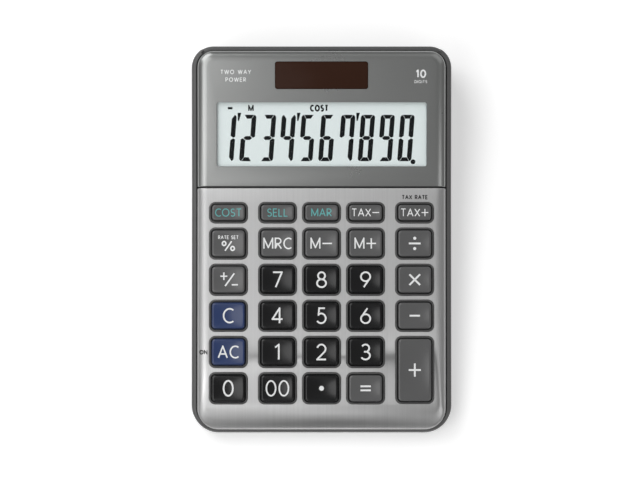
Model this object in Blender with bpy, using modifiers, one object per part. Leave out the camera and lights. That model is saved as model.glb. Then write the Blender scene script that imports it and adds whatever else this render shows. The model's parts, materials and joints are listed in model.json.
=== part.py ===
"""Sloping solar calculator: a two-shell case, a metal faceplate, 29 sprung keys and what is inside.

Units are metres and +Z is up. X runs across the case, +Y points to the display end, and the
rubber feet stand on z = 0. The face is two flat slopes that meet at a seam: the keypad in front
and the steeper display panel behind. Two empties carry those slopes, so a piece on the keypad is
placed by its distance from the front edge and its height above the metal.
"""

import math
from dataclasses import dataclass

import bmesh
import bpy

MM = 0.001
DEGREE = math.pi / 180

# The case outline and the two slopes
WIDTH = 102.0 * MM
KEYPAD_LENGTH = 95.5 * MM
DISPLAY_LENGTH = 56.05 * MM
KEYPAD_SLOPE = 5.5 * DEGREE
DISPLAY_SLOPE = 10.5 * DEGREE
SEAM_HEIGHT = 20.8 * MM
FRONT_CORNER = 10.5 * MM
BACK_CORNER = 8.5 * MM
LEAST_CORNER = 1.0 * MM
CORNER_STEPS = 6

LENGTH = KEYPAD_LENGTH * math.cos(KEYPAD_SLOPE) + DISPLAY_LENGTH * math.cos(DISPLAY_SLOPE)
FRONT_Y = -LENGTH / 2
BACK_Y = LENGTH / 2
SEAM_Y = FRONT_Y + KEYPAD_LENGTH * math.cos(KEYPAD_SLOPE)
SEAM_GAP = 0.5 * MM
STEP_HALF = 0.2 * MM

# The front of the face falls away in part of an ellipse
FALL_START_Y = FRONT_Y + 11.45 * MM
FALL_REACH = 13.0 * MM
FALL_DROP = 8.0 * MM
FRONT_SHARE = 0.2

# The rolled edge of the faceplate and the display panel
PANEL_INSET = 1.9 * MM
PANEL_FRONT_INSET = 0.9 * MM
ROLL_WIDTH = 4.0 * MM
ROLL_DROP = 2.2 * MM
ROLL_STEPS = 4
PLATE_THICKNESS = 0.6 * MM
PANEL_THICKNESS = 1.6 * MM

# The shells
WALL = 2.0 * MM
GAP = 0.3 * MM
CASE_BOTTOM = 1.2 * MM
CASE_FLOOR = 3.0 * MM
SPLIT_DEPTH = 6.5 * MM
TONGUE_INSET = 1.1 * MM
TONGUE_HEIGHT = 1.2 * MM
DECK_TOP = PLATE_THICKNESS + GAP
DECK_BOTTOM = 2.4 * MM
BASE_ROUND = 1.5 * MM

# The upper case in section: a rim, a groove under the rolled edges, and the deck inside it.
# The first three are drops below the face, the deck's own are insets from the outline.
RIM_DROP = 2.7 * MM
GROOVE_DROP = 1.6 * MM
GROOVE_BOTTOM = 2.2 * MM
RIM_ROUND = 0.5 * MM
DECK_EDGE = 3.8 * MM
DECK_SHOULDER = 5.0 * MM
DECK_FLAT = 6.5 * MM
DECK_UNDER = 0.4 * MM
EDGE_DROP = 0.7 * MM
SHOULDER_DROP = 0.2 * MM
FRONT_LESS = PANEL_INSET - PANEL_FRONT_INSET
DISPLAY_STEP = PANEL_THICKNESS - PLATE_THICKNESS

# Heights above the metal that a cut through the face runs between, and a boss's depth in the deck
CUT_LEVELS = (-8.0 * MM, 3.0 * MM)
BOSS_IN_DECK = 1.6 * MM

# The keys, on the keypad slope: distances from the front edge, heights above the metal
COLUMNS = (-36.5 * MM, -17.25 * MM, 0.0, 17.25 * MM, 36.5 * MM)
ROWS = (
    (85.5 * MM, ("cost", "sell", "margin", "tax_minus", "tax_plus")),
    (73.4 * MM, ("percent", "memory_recall", "memory_minus", "memory_plus", "divide")),
    (59.2 * MM, ("sign", "7", "8", "9", "times")),
    (45.1 * MM, ("clear", "4", "5", "6", "minus")),
    (30.9 * MM, ("all_clear", "1", "2", "3")),
    (16.7 * MM, ("0", "double_zero", "point", "equals")),
)
TALL_KEY_CENTRE = 23.85 * MM
KEY_WIDTH = 13.1 * MM
KEY_DEPTH = 10.45 * MM
LOW_KEY_DEPTH = 6.3 * MM
TALL_KEY_DEPTH = 24.5 * MM
KEY_CORNER = 1.4 * MM
KEY_TOP = 2.0 * MM
KEY_EDGE = 0.45 * MM
KEY_LIP = 0.8 * MM
KEY_FOOT = -(DECK_BOTTOM + GAP + KEY_LIP)
KEY_GAP = 0.35 * MM
COLLAR_WALL = 0.65 * MM
COLLAR_TOP = 0.4 * MM
COLLAR_BOTTOM = -1.6 * MM
PLATE_GAP = 0.2 * MM
DARK_KEYS = ("7", "8", "9", "4", "5", "6", "1", "2", "3", "0", "double_zero", "point")
BLUE_KEYS = ("clear", "all_clear")

# The rubber mat and the board below the keys
DOME_TOP = KEY_FOOT - GAP
MAT_TOP = -5.6 * MM
MAT_THICKNESS = 0.8 * MM
BOARD_TOP = MAT_TOP - MAT_THICKNESS - GAP
BOARD_THICKNESS = 1.2 * MM
BOARD_BOTTOM = BOARD_TOP - BOARD_THICKNESS
BOARD_WIDTH = 86.0 * MM
BOARD_FRONT = 11.0 * MM
BOARD_BACK = 88.9 * MM
DOME_RADIUS = 3.4 * MM
LOW_DOME_RADIUS = 2.6 * MM
DOME_TAPER = 0.62
TALL_KEY_DOMES = (-8.0 * MM, 0.0, 8.0 * MM)
CHIP_PLACE = (14.0 * MM, 58.0 * MM)
CAPACITOR_PLACE = (33.0 * MM, 80.0 * MM)

# The display window, the solar window and what lies under them, on the display slope
LCD_CENTRE = (0.1 * MM, 20.75 * MM)
LCD_WINDOW = (82.2 * MM, 25.0 * MM)
LCD_GLASS = (85.0 * MM, 28.0 * MM)
LCD_RIM = 1.2 * MM
SOLAR_CENTRE = (0.0, 43.9 * MM)
SOLAR_WINDOW = (36.35 * MM, 10.6 * MM)
SOLAR_CELL = (37.0 * MM, 11.2 * MM)
LENS_TOP = -0.1 * MM
LENS_THICKNESS = 1.2 * MM
STACK_TOP = -(PANEL_THICKNESS + GAP)
WINDOW_CORNER = 0.8 * MM
GLASS_CORNER = 0.3 * MM
GLASS_THICKNESS = 1.8 * MM
FILM_THICKNESS = 0.4 * MM
SOLAR_THICKNESS = 1.1 * MM

# Screws: place in plan, and the height where the two bosses meet
SCREWS = (
    ("front", 38.5 * MM, -68.2 * MM, 5.6 * MM),
    ("middle", 40.0 * MM, 17.2 * MM, 11.0 * MM),
    ("back", 41.0 * MM, 67.0 * MM, 15.0 * MM),
)
BOSS_RADIUS = 2.3 * MM
WELL_RADIUS = 3.4 * MM
WELL_FLOOR = 2.2 * MM
HEAD_RADIUS = 2.3 * MM
HEAD_HEIGHT = 1.2 * MM
SHANK_RADIUS = 0.8 * MM
SHANK_REACH = 3.4 * MM

# Feet, board pillars and the button cell
FOOT_X = 40.0 * MM
FOOT_Y = 56.0 * MM
FOOT_RADIUS = 4.0 * MM
FOOT_HEIGHT = 1.9 * MM
PILLARS = ((0.0, 20.0 * MM), (30.0 * MM, 38.0 * MM), (-30.0 * MM, 38.0 * MM), (0.0, 80.0 * MM))
PILLAR_RADIUS = 1.5 * MM
CELL_PLACE = (-27.0 * MM, 80.0 * MM)
CELL_RADIUS = 5.8 * MM
CELL_HEIGHT = 5.4 * MM
CONTACT_THICKNESS = 0.3 * MM
CONTACT_SIZE = (5.0 * MM, 9.0 * MM)
CELL_TOP = BOARD_BOTTOM - 2 * GAP - CONTACT_THICKNESS

# The solar cell's leads and the ribbon to the display
LEAD_RADIUS = 0.5 * MM
LEAD_STEPS = 3
RIBBON_THICKNESS = 0.2 * MM
RIBBON_ACROSS = (-12.0 * MM, 26.0 * MM)


def clear_scene():
    """Remove every object that is already in the scene."""
    for thing in list(bpy.data.objects):
        bpy.data.objects.remove(thing)


def new_collection(name):
    """Make a collection under the scene's own and return it."""
    made = bpy.data.collections.new(name)
    bpy.context.scene.collection.children.link(made)
    return made


clear_scene()
PARTS = new_collection("pocket_calculator")
GUIDES = new_collection("cutters_and_guides")


def new_material(name, colour, roughness, metallic=0.0, alpha=1.0):
    """Make one Principled material."""
    made = bpy.data.materials.new(name)
    made.use_nodes = True
    shader = made.node_tree.nodes["Principled BSDF"]
    shader.inputs["Base Color"].default_value = (*colour, 1.0)
    shader.inputs["Roughness"].default_value = roughness
    shader.inputs["Metallic"].default_value = metallic
    shader.inputs["Alpha"].default_value = alpha
    return made


CASE_GREY = new_material("case_grey", (0.10, 0.10, 0.10), 0.45)
PANEL_GREY = new_material("panel_grey", (0.22, 0.23, 0.22), 0.35, 0.3)
BRUSHED_PLATE = new_material("brushed_plate", (0.55, 0.55, 0.54), 0.35, 1.0)
KEY_GREY = new_material("key_grey", (0.15, 0.15, 0.155), 0.4)
KEY_DARK = new_material("key_dark", (0.03, 0.03, 0.03), 0.4)
KEY_BLUE = new_material("key_blue", (0.035, 0.06, 0.24), 0.4)
CLEAR_LENS = new_material("clear_lens", (0.9, 0.95, 0.95), 0.05, 0.0, 0.3)
SMOKED_LENS = new_material("smoked_lens", (0.05, 0.02, 0.015), 0.08)
LCD_SCREEN = new_material("lcd_screen", (0.7, 0.82, 0.8), 0.25)
BRIGHT_FILM = new_material("bright_film", (0.8, 0.8, 0.8), 0.3, 0.8)
DARK_SILICON = new_material("dark_silicon", (0.04, 0.02, 0.02), 0.2)
SOFT_RUBBER = new_material("soft_rubber", (0.35, 0.35, 0.36), 0.8)
BLACK_RUBBER = new_material("black_rubber", (0.02, 0.02, 0.02), 0.85)
GREEN_BOARD = new_material("green_board", (0.02, 0.16, 0.06), 0.5)
BLACK_RESIN = new_material("black_resin", (0.015, 0.015, 0.015), 0.4)
AMBER_FILM = new_material("amber_film", (0.45, 0.22, 0.04), 0.4)
BRIGHT_STEEL = new_material("bright_steel", (0.6, 0.6, 0.6), 0.25, 1.0)
RED_SLEEVE = new_material("red_sleeve", (0.5, 0.02, 0.02), 0.5)
BLACK_SLEEVE = new_material("black_sleeve", (0.02, 0.02, 0.02), 0.5)


def new_empty(name, location, slope):
    """Add an empty that lies on one of the two slopes."""
    made = bpy.data.objects.new(name, None)
    made.location = location
    made.rotation_euler = (slope, 0.0, 0.0)
    GUIDES.objects.link(made)
    return made


KEYPAD = new_empty(
    "keypad_slope", (0.0, FRONT_Y, SEAM_HEIGHT - KEYPAD_LENGTH * math.sin(KEYPAD_SLOPE)), KEYPAD_SLOPE
)
DISPLAY = new_empty("display_slope", (0.0, SEAM_Y, SEAM_HEIGHT), DISPLAY_SLOPE)


def add_part(name, mesh, material, parent=None, location=(0.0, 0.0, 0.0)):
    """Add a finished mesh as one named piece."""
    made = bpy.data.objects.new(name, mesh)
    if not mesh.materials:
        mesh.materials.append(material)
    made.location = location
    made.parent = parent
    PARTS.objects.link(made)
    return made


def add_guide(name, mesh, parent=None):
    """Add a mesh that only joins or cuts other pieces."""
    made = bpy.data.objects.new(name, mesh)
    made.parent = parent
    made.hide_render = True
    made.display_type = "WIRE"
    GUIDES.objects.link(made)
    return made


def boolean(target, guide, operation):
    """Join or cut a piece with a guide."""
    change = target.modifiers.new(guide.name, "BOOLEAN")
    change.object = guide
    change.operation = operation
    change.solver = "EXACT"


def finish_mesh(name, bm):
    """Turn a bmesh into a mesh."""
    mesh = bpy.data.meshes.new(name)
    bm.to_mesh(mesh)
    bm.free()
    return mesh


def rounded_box(bm, centre, size, levels, radius, segments=2):
    """Add a box with rounded upright edges."""
    low, high = levels
    made = set(bmesh.ops.create_cube(bm, size=1.0)["verts"])
    corners = list(made)
    bmesh.ops.scale(bm, vec=(size[0], size[1], high - low), verts=corners)
    bmesh.ops.translate(bm, vec=(centre[0], centre[1], (low + high) / 2), verts=corners)
    upright = [
        edge
        for edge in bm.edges
        if edge.verts[0] in made
        and edge.verts[1] in made
        and abs(edge.verts[0].co.z - edge.verts[1].co.z) > (high - low) / 2
    ]
    bmesh.ops.bevel(bm, geom=upright, offset=radius, segments=segments, profile=0.5, affect="EDGES")


def box_mesh(name, centre, size, levels, radius, segments=2):
    """Mesh of one box with rounded upright edges."""
    bm = bmesh.new()
    rounded_box(bm, centre, size, levels, radius, segments)
    return finish_mesh(name, bm)


def add_cylinder(bm, place, radius, levels, sides=12, top_radius=None):
    """Add an upright cylinder, or a cone where the top has its own radius."""
    low, high = levels
    made = bmesh.ops.create_cone(
        bm,
        cap_ends=True,
        segments=sides,
        radius1=radius,
        radius2=radius if top_radius is None else top_radius,
        depth=high - low,
    )["verts"]
    bmesh.ops.translate(bm, vec=(place[0], place[1], (low + high) / 2), verts=made)


def turned_part(name, profile, material, location, parent=None, steps=20):
    """Add a round piece from a profile of radius and height that runs from top to bottom."""
    bm = bmesh.new()
    points = [bm.verts.new((radius, 0.0, height)) for radius, height in profile]
    for first, second in zip(points, points[1:]):
        bm.edges.new((first, second))
    made = add_part(name, finish_mesh(name, bm), material, parent, location)
    turn = made.modifiers.new("turn", "SCREW")
    turn.steps = steps
    turn.render_steps = steps
    turn.use_merge_vertices = True
    turn.merge_threshold = 0.00001
    return made


def add_ribbon(name, path, across, thickness, material):
    """Add a bent strip: an open sheet along a path of y and z, given its thickness by Solidify."""
    bm = bmesh.new()
    edges = [[bm.verts.new((x, y, z)) for y, z in path] for x in across]
    for first in range(len(path) - 1):
        bm.faces.new((edges[0][first], edges[1][first], edges[1][first + 1], edges[0][first + 1]))
    made = add_part(name, finish_mesh(name, bm), material)
    thick = made.modifiers.new("thickness", "SOLIDIFY")
    thick.thickness = thickness
    thick.offset = 0.0
    thick.use_even_offset = True
    return made


def plane_height(y):
    """Height of the two flat slopes, carried straight on to the ends."""
    slope = DISPLAY_SLOPE if y > SEAM_Y else KEYPAD_SLOPE
    return SEAM_HEIGHT + (y - SEAM_Y) * math.tan(slope)


def face_height(y):
    """Height of the face, with its fall at the front."""
    past = max(0.0, FALL_START_Y - y) / FALL_REACH
    return plane_height(y) - FALL_DROP * (1.0 - math.sqrt(1.0 - past * past))


def side_share(y):
    """Share of the rolled edge's drop that applies here: all along the sides, little at the front."""
    way = min(max((y - FRONT_Y) / (FALL_START_Y - FRONT_Y), 0.0), 1.0)
    return FRONT_SHARE + (1.0 - FRONT_SHARE) * way * way * (3.0 - 2.0 * way)


def display_share(y):
    """0 on the keypad and 1 under the display panel."""
    return min(max((y - SEAM_Y + STEP_HALF) / (2 * STEP_HALF), 0.0), 1.0)


def on_keypad(along, above):
    """World y and z of a point on the keypad slope."""
    cosine, sine = math.cos(KEYPAD_SLOPE), math.sin(KEYPAD_SLOPE)
    start = SEAM_HEIGHT - KEYPAD_LENGTH * sine
    return FRONT_Y + along * cosine - above * sine, start + along * sine + above * cosine


def on_display(along, above):
    """World y and z of a point on the display slope."""
    cosine, sine = math.cos(DISPLAY_SLOPE), math.sin(DISPLAY_SLOPE)
    return SEAM_Y + along * cosine - above * sine, SEAM_HEIGHT + along * sine + above * cosine


@dataclass(frozen=True)
class Ring:
    """One closed line round the case, by its inset from the outline and its height.

    datum says what the height is measured from: the face, the bare slopes, or the ground.
    roll is a drop that fades towards the front, depth is a plain drop (or, from the ground, a
    height), and step is a further drop under the display panel. front is the inset at the
    front edge where it isn't the same as along the sides.
    """

    inset: float
    roll: float = 0.0
    depth: float = 0.0
    step: float = 0.0
    front: float = None
    datum: str = "face"

    def height(self, y):
        """Height of the line at one y."""
        if self.datum == "ground":
            return self.depth
        if self.datum == "slope":
            return plane_height(y) - self.depth
        drop = side_share(y) * self.roll + self.depth + display_share(y) * self.step
        return face_height(y) - drop

    def right_half(self):
        """Plan points of the right-hand half, from the front edge to the back edge."""
        side = WIDTH / 2 - self.inset
        front = FRONT_Y + (self.inset if self.front is None else self.front)
        back = BACK_Y - self.inset
        front_radius = max(FRONT_CORNER - self.inset, LEAST_CORNER)
        back_radius = max(BACK_CORNER - self.inset, LEAST_CORNER)
        turns = [step * math.pi / 2 / CORNER_STEPS for step in range(CORNER_STEPS + 1)]
        points = [
            (side - front_radius * (1 - math.sin(a)), front + front_radius * (1 - math.cos(a)))
            for a in turns
        ]
        points += [(side, y) for y in (FALL_START_Y, SEAM_Y - STEP_HALF, SEAM_Y + STEP_HALF)]
        points += [
            (side - back_radius * (1 - math.cos(a)), back - back_radius * (1 - math.sin(a)))
            for a in turns
        ]
        return points


def loft(name, rings):
    """Mesh of a closed shell through rings of one point count, its two ends closed in strips."""
    bm = bmesh.new()
    loops = []
    for ring in rings:
        right = ring.right_half()
        plan = right + [(-x, y) for x, y in reversed(right)]
        loops.append([bm.verts.new((x, y, ring.height(y))) for x, y in plan])
    count = len(loops[0])
    for first, second in zip(loops, loops[1:]):
        for i in range(count):
            j = (i + 1) % count
            bm.faces.new((first[i], first[j], second[j], second[i]))
    for loop in (loops[0], loops[-1]):
        for i in range(count // 2 - 1):
            bm.faces.new((loop[i], loop[i + 1], loop[count - 2 - i], loop[count - 1 - i]))
    bmesh.ops.recalc_face_normals(bm, faces=bm.faces)
    return finish_mesh(name, bm)


def skin_rings(thickness):
    """Rings of a sheet with a rolled edge, from its underside round the edge to its top."""
    rings = []
    turns = [step * math.pi / 2 / ROLL_STEPS for step in range(ROLL_STEPS + 1)]
    for a in reversed(turns):
        inset = thickness + (ROLL_WIDTH - thickness) * (1 - math.cos(a))
        roll = (ROLL_DROP - thickness) * (1 - math.sin(a))
        rings.append((inset, roll, thickness))
    for a in turns:
        rings.append((ROLL_WIDTH * (1 - math.cos(a)), ROLL_DROP * (1 - math.sin(a)), 0.0))
    return [
        Ring(PANEL_INSET + inset, roll, depth, front=PANEL_FRONT_INSET + inset)
        for inset, roll, depth in rings
    ]


def key_places():
    """Yield each key's name, its centre on the keypad slope and its depth."""
    for along, names in ROWS:
        depth = LOW_KEY_DEPTH if along == ROWS[0][0] else KEY_DEPTH
        for column, name in zip(COLUMNS, names):
            yield name, column, along, depth
    yield "plus", COLUMNS[-1], TALL_KEY_CENTRE, TALL_KEY_DEPTH


def key_boxes(name, margin, levels, radius):
    """Add one guide that holds a rounded box round every key."""
    bm = bmesh.new()
    for _, column, along, depth in key_places():
        size = (KEY_WIDTH + 2 * margin, depth + 2 * margin)
        rounded_box(bm, (column, along), size, levels, radius)
    return add_guide(name, finish_mesh(name, bm), KEYPAD)


def seam_guide(name, low_y, high_y):
    """Add a block that keeps one side of the seam."""
    size = (WIDTH * 1.2, high_y - low_y)
    levels = (-SEAM_HEIGHT, 3 * SEAM_HEIGHT)
    return add_guide(name, box_mesh(name, (0.0, (low_y + high_y) / 2), size, levels, MM, 1))


def deck_inside(y):
    """Height inside the deck that a boss reaches up to."""
    return face_height(y) - BOSS_IN_DECK - display_share(y) * DISPLAY_STEP


def boss_guide(name, radius, span):
    """Add one guide that holds a cylinder at every screw, between the two heights of its span."""
    bm = bmesh.new()
    for _, x, y, meeting in SCREWS:
        for side in (-1, 1):
            add_cylinder(bm, (side * x, y), radius, span(y, meeting))
    return add_guide(name, finish_mesh(name, bm))


def make_upper_case():
    """Upper shell: rim, groove for the panels, deck, tongue, collars round the keys and bosses."""
    low_edge = SPLIT_DEPTH + TONGUE_HEIGHT
    groove = PANEL_INSET - GAP
    rings = [
        Ring(DECK_FLAT + DECK_UNDER, 0.0, DECK_BOTTOM, DISPLAY_STEP),
        Ring(DECK_SHOULDER + DECK_UNDER, 0.0, DECK_BOTTOM, DISPLAY_STEP),
        Ring(DECK_EDGE + DECK_UNDER, GROOVE_DROP, GROOVE_BOTTOM),
        Ring(WALL, GROOVE_DROP, GROOVE_BOTTOM),
        Ring(WALL, depth=low_edge, datum="slope"),
        Ring(TONGUE_INSET, depth=low_edge, datum="slope"),
        Ring(TONGUE_INSET, depth=SPLIT_DEPTH, datum="slope"),
        Ring(0.0, depth=SPLIT_DEPTH, datum="slope"),
        Ring(0.0, RIM_DROP + RIM_ROUND),
        Ring(0.3 * RIM_ROUND, RIM_DROP + 0.3 * RIM_ROUND),
        Ring(RIM_ROUND, RIM_DROP, front=0.6 * RIM_ROUND),
        Ring(groove, RIM_DROP - 0.2 * RIM_ROUND, front=groove - FRONT_LESS),
        Ring(groove, GROOVE_DROP, DECK_TOP, front=groove - FRONT_LESS),
        Ring(DECK_EDGE, GROOVE_DROP, DECK_TOP, front=DECK_EDGE - FRONT_LESS),
        Ring(DECK_EDGE, EDGE_DROP, DECK_TOP, EDGE_DROP, front=DECK_EDGE - FRONT_LESS),
        Ring(DECK_SHOULDER, SHOULDER_DROP, DECK_TOP, DISPLAY_STEP, front=DECK_SHOULDER - FRONT_LESS),
        Ring(DECK_FLAT, 0.0, DECK_TOP, DISPLAY_STEP, front=DECK_FLAT - FRONT_LESS),
    ]
    case = add_part("upper_case", loft("upper_case", rings), CASE_GREY)
    collar = KEY_GAP + COLLAR_WALL
    collars = key_boxes("collars", collar, (COLLAR_BOTTOM, COLLAR_TOP), KEY_CORNER + collar)
    holes = key_boxes("key_holes", KEY_GAP, CUT_LEVELS, KEY_CORNER + KEY_GAP)
    bosses = boss_guide(
        "upper_bosses", BOSS_RADIUS, lambda y, meeting: (meeting, deck_inside(y))
    )
    pilots = boss_guide(
        "pilot_holes",
        SHANK_RADIUS + GAP,
        lambda y, meeting: (meeting - MM, meeting + SHANK_REACH + GAP),
    )
    bm = bmesh.new()
    opening = (LCD_GLASS[0] + 2 * (LCD_RIM + 2 * GAP), LCD_GLASS[1] + 2 * (LCD_RIM + 2 * GAP))
    rounded_box(bm, LCD_CENTRE, opening, CUT_LEVELS, WINDOW_CORNER + GAP)
    cell_opening = (SOLAR_CELL[0] + 2 * GAP, SOLAR_CELL[1] + 2 * GAP)
    rounded_box(bm, SOLAR_CENTRE, cell_opening, CUT_LEVELS, WINDOW_CORNER)
    windows = add_guide("deck_windows", finish_mesh("deck_windows", bm), DISPLAY)
    boolean(case, collars, "UNION")
    boolean(case, bosses, "UNION")
    boolean(case, holes, "DIFFERENCE")
    boolean(case, windows, "DIFFERENCE")
    boolean(case, pilots, "DIFFERENCE")


def make_rear_case():
    """Lower shell: a wedge-shaped tray with screw wells, foot recesses and board pillars."""
    split = SPLIT_DEPTH + GAP
    rebate = SPLIT_DEPTH + TONGUE_HEIGHT + GAP
    rings = [
        Ring(WALL, depth=CASE_FLOOR, datum="ground"),
        Ring(WALL, depth=rebate, datum="slope"),
        Ring(TONGUE_INSET - GAP, depth=rebate, datum="slope"),
        Ring(TONGUE_INSET - GAP, depth=split, datum="slope"),
        Ring(0.0, depth=split, datum="slope"),
        Ring(0.0, depth=CASE_BOTTOM + BASE_ROUND, datum="ground"),
        Ring(0.3 * BASE_ROUND, depth=CASE_BOTTOM + 0.3 * BASE_ROUND, datum="ground"),
        Ring(BASE_ROUND, depth=CASE_BOTTOM, datum="ground"),
    ]
    case = add_part("rear_case", loft("rear_case", rings), CASE_GREY)
    wells = boss_guide(
        "wells", WELL_RADIUS, lambda y, meeting: (CASE_BOTTOM + MM, meeting - GAP)
    )
    head_rooms = boss_guide(
        "head_rooms", HEAD_RADIUS + GAP, lambda y, meeting: (0.0, meeting - GAP - WELL_FLOOR)
    )
    shank_holes = boss_guide(
        "shank_holes", SHANK_RADIUS + GAP, lambda y, meeting: (0.0, meeting + MM)
    )
    bm = bmesh.new()
    for x, along in PILLARS:
        y, board = on_keypad(along, BOARD_BOTTOM)
        add_cylinder(bm, (x, y), PILLAR_RADIUS, (CASE_BOTTOM + MM, board - 2 * GAP))
    pillars = add_guide("board_pillars", finish_mesh("board_pillars", bm))
    bm = bmesh.new()
    for x in (-FOOT_X, FOOT_X):
        for y in (-FOOT_Y, FOOT_Y):
            levels = (0.0, FOOT_HEIGHT + GAP)
            add_cylinder(bm, (x, y), FOOT_RADIUS + GAP, levels, 20)
    recesses = add_guide("foot_recesses", finish_mesh("foot_recesses", bm))
    boolean(case, wells, "UNION")
    boolean(case, pillars, "UNION")
    boolean(case, head_rooms, "DIFFERENCE")
    boolean(case, shank_holes, "DIFFERENCE")
    boolean(case, recesses, "DIFFERENCE")


def make_panels():
    """The metal faceplate in front of the seam and the display panel behind it."""
    plate = add_part("faceplate", loft("faceplate", skin_rings(PLATE_THICKNESS)), BRUSHED_PLATE)
    boolean(plate, seam_guide("front_of_seam", 2 * FRONT_Y, SEAM_Y - SEAM_GAP / 2), "INTERSECT")
    margin = KEY_GAP + COLLAR_WALL + PLATE_GAP
    around = key_boxes("plate_holes", margin, CUT_LEVELS, KEY_CORNER + margin)
    boolean(plate, around, "DIFFERENCE")

    panel = add_part("display_panel", loft("display_panel", skin_rings(PANEL_THICKNESS)), PANEL_GREY)
    boolean(panel, seam_guide("behind_seam", SEAM_Y + SEAM_GAP / 2, 2 * BACK_Y), "INTERSECT")
    bm = bmesh.new()
    for centre, window in ((LCD_CENTRE, LCD_WINDOW), (SOLAR_CENTRE, SOLAR_WINDOW)):
        size = (window[0] + 2 * GAP, window[1] + 2 * GAP)
        rounded_box(bm, centre, size, CUT_LEVELS, WINDOW_CORNER + GAP)
    windows = add_guide("panel_windows", finish_mesh("panel_windows", bm), DISPLAY)
    boolean(panel, windows, "DIFFERENCE")


def make_display_stack():
    """Lenses, liquid-crystal glass with its rim and reflector, and the solar cell."""
    lens_levels = (LENS_TOP - LENS_THICKNESS, LENS_TOP)
    lens = box_mesh("lcd_window", LCD_CENTRE, LCD_WINDOW, lens_levels, WINDOW_CORNER)
    add_part("lcd_window", lens, CLEAR_LENS, DISPLAY)
    smoked = box_mesh("solar_window", SOLAR_CENTRE, SOLAR_WINDOW, lens_levels, WINDOW_CORNER)
    add_part("solar_window", smoked, SMOKED_LENS, DISPLAY)

    glass_levels = (STACK_TOP - GLASS_THICKNESS, STACK_TOP)
    glass = box_mesh("lcd_glass", LCD_CENTRE, LCD_GLASS, glass_levels, GLASS_CORNER, 1)
    add_part("lcd_glass", glass, LCD_SCREEN, DISPLAY)
    rim_size = (LCD_GLASS[0] + 2 * (LCD_RIM + GAP), LCD_GLASS[1] + 2 * (LCD_RIM + GAP))
    rim = add_part(
        "lcd_frame",
        box_mesh("lcd_frame", LCD_CENTRE, rim_size, glass_levels, WINDOW_CORNER),
        BLACK_RESIN,
        DISPLAY,
    )
    inside = (LCD_GLASS[0] + 2 * GAP, LCD_GLASS[1] + 2 * GAP)
    hollow = box_mesh("lcd_room", LCD_CENTRE, inside, CUT_LEVELS, GLASS_CORNER, 1)
    boolean(rim, add_guide("lcd_room", hollow, DISPLAY), "DIFFERENCE")

    film_centre = (LCD_CENTRE[0], LCD_CENTRE[1] + 1.0 * MM)
    film_size = (LCD_GLASS[0] - 2.0 * MM, LCD_GLASS[1] - 4.0 * MM)
    film_top = glass_levels[0] - GAP
    film_levels = (film_top - FILM_THICKNESS, film_top)
    film = box_mesh("lcd_reflector", film_centre, film_size, film_levels, MM, 1)
    add_part("lcd_reflector", film, BRIGHT_FILM, DISPLAY)

    cell_levels = (STACK_TOP - SOLAR_THICKNESS, STACK_TOP)
    cell = box_mesh("solar_cell", SOLAR_CENTRE, SOLAR_CELL, cell_levels, GLASS_CORNER, 1)
    add_part("solar_cell", cell, DARK_SILICON, DISPLAY)


def key_mesh(name, depth, material):
    """Mesh of one key: a wide foot that the deck holds down, and a cap that stands through it."""
    bm = bmesh.new()
    foot = (KEY_WIDTH + 2 * KEY_LIP, depth + 2 * KEY_LIP)
    rounded_box(bm, (0.0, 0.0), foot, (KEY_FOOT, KEY_FOOT + KEY_LIP), KEY_CORNER + KEY_LIP)
    top = max(bm.faces, key=lambda face: face.calc_center_median().z)
    bmesh.ops.inset_individual(bm, faces=[top], thickness=KEY_LIP)
    top = bmesh.ops.extrude_discrete_faces(bm, faces=[top])["faces"][0]
    rise = KEY_TOP - KEY_EDGE - (KEY_FOOT + KEY_LIP)
    bmesh.ops.translate(bm, vec=(0.0, 0.0, rise), verts=top.verts)
    for inset, raised in ((0.3 * KEY_EDGE, 0.7 * KEY_EDGE), (0.7 * KEY_EDGE, 0.3 * KEY_EDGE)):
        bmesh.ops.inset_individual(bm, faces=[top], thickness=inset, depth=raised)
    bmesh.ops.recalc_face_normals(bm, faces=bm.faces)
    mesh = finish_mesh(name, bm)
    mesh.materials.append(material)
    return mesh


def make_keys():
    """One object for each key, placed by its own centre on the keypad slope."""
    meshes = {}
    for name, column, along, depth in key_places():
        colour = KEY_DARK if name in DARK_KEYS else KEY_BLUE if name in BLUE_KEYS else KEY_GREY
        kind = (depth, colour.name)
        if kind not in meshes:
            meshes[kind] = key_mesh(f"{colour.name}_{round(depth / MM)}", depth, colour)
        add_part(f"key_{name}", meshes[kind], colour, KEYPAD, (column, along, 0.0))


def make_key_mat():
    """Rubber mat: a sheet with one dome under each key and three under the tall one."""
    centre = (0.0, (BOARD_FRONT + BOARD_BACK) / 2)
    size = (BOARD_WIDTH - 1.0 * MM, BOARD_BACK - BOARD_FRONT - 1.0 * MM)
    levels = (MAT_TOP - MAT_THICKNESS, MAT_TOP)
    sheet = box_mesh("key_mat", centre, size, levels, 2.0 * MM)
    mat = add_part("key_mat", sheet, SOFT_RUBBER, KEYPAD)
    bm = bmesh.new()
    for name, column, along, depth in key_places():
        wide = LOW_DOME_RADIUS if depth == LOW_KEY_DEPTH else DOME_RADIUS
        for offset in TALL_KEY_DOMES if name == "plus" else (0.0,):
            place = (column, along + offset)
            add_cylinder(bm, place, wide, (levels[0] + GAP, DOME_TOP), 8, wide * DOME_TAPER)
    boolean(mat, add_guide("mat_domes", finish_mesh("mat_domes", bm), KEYPAD), "UNION")


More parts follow.
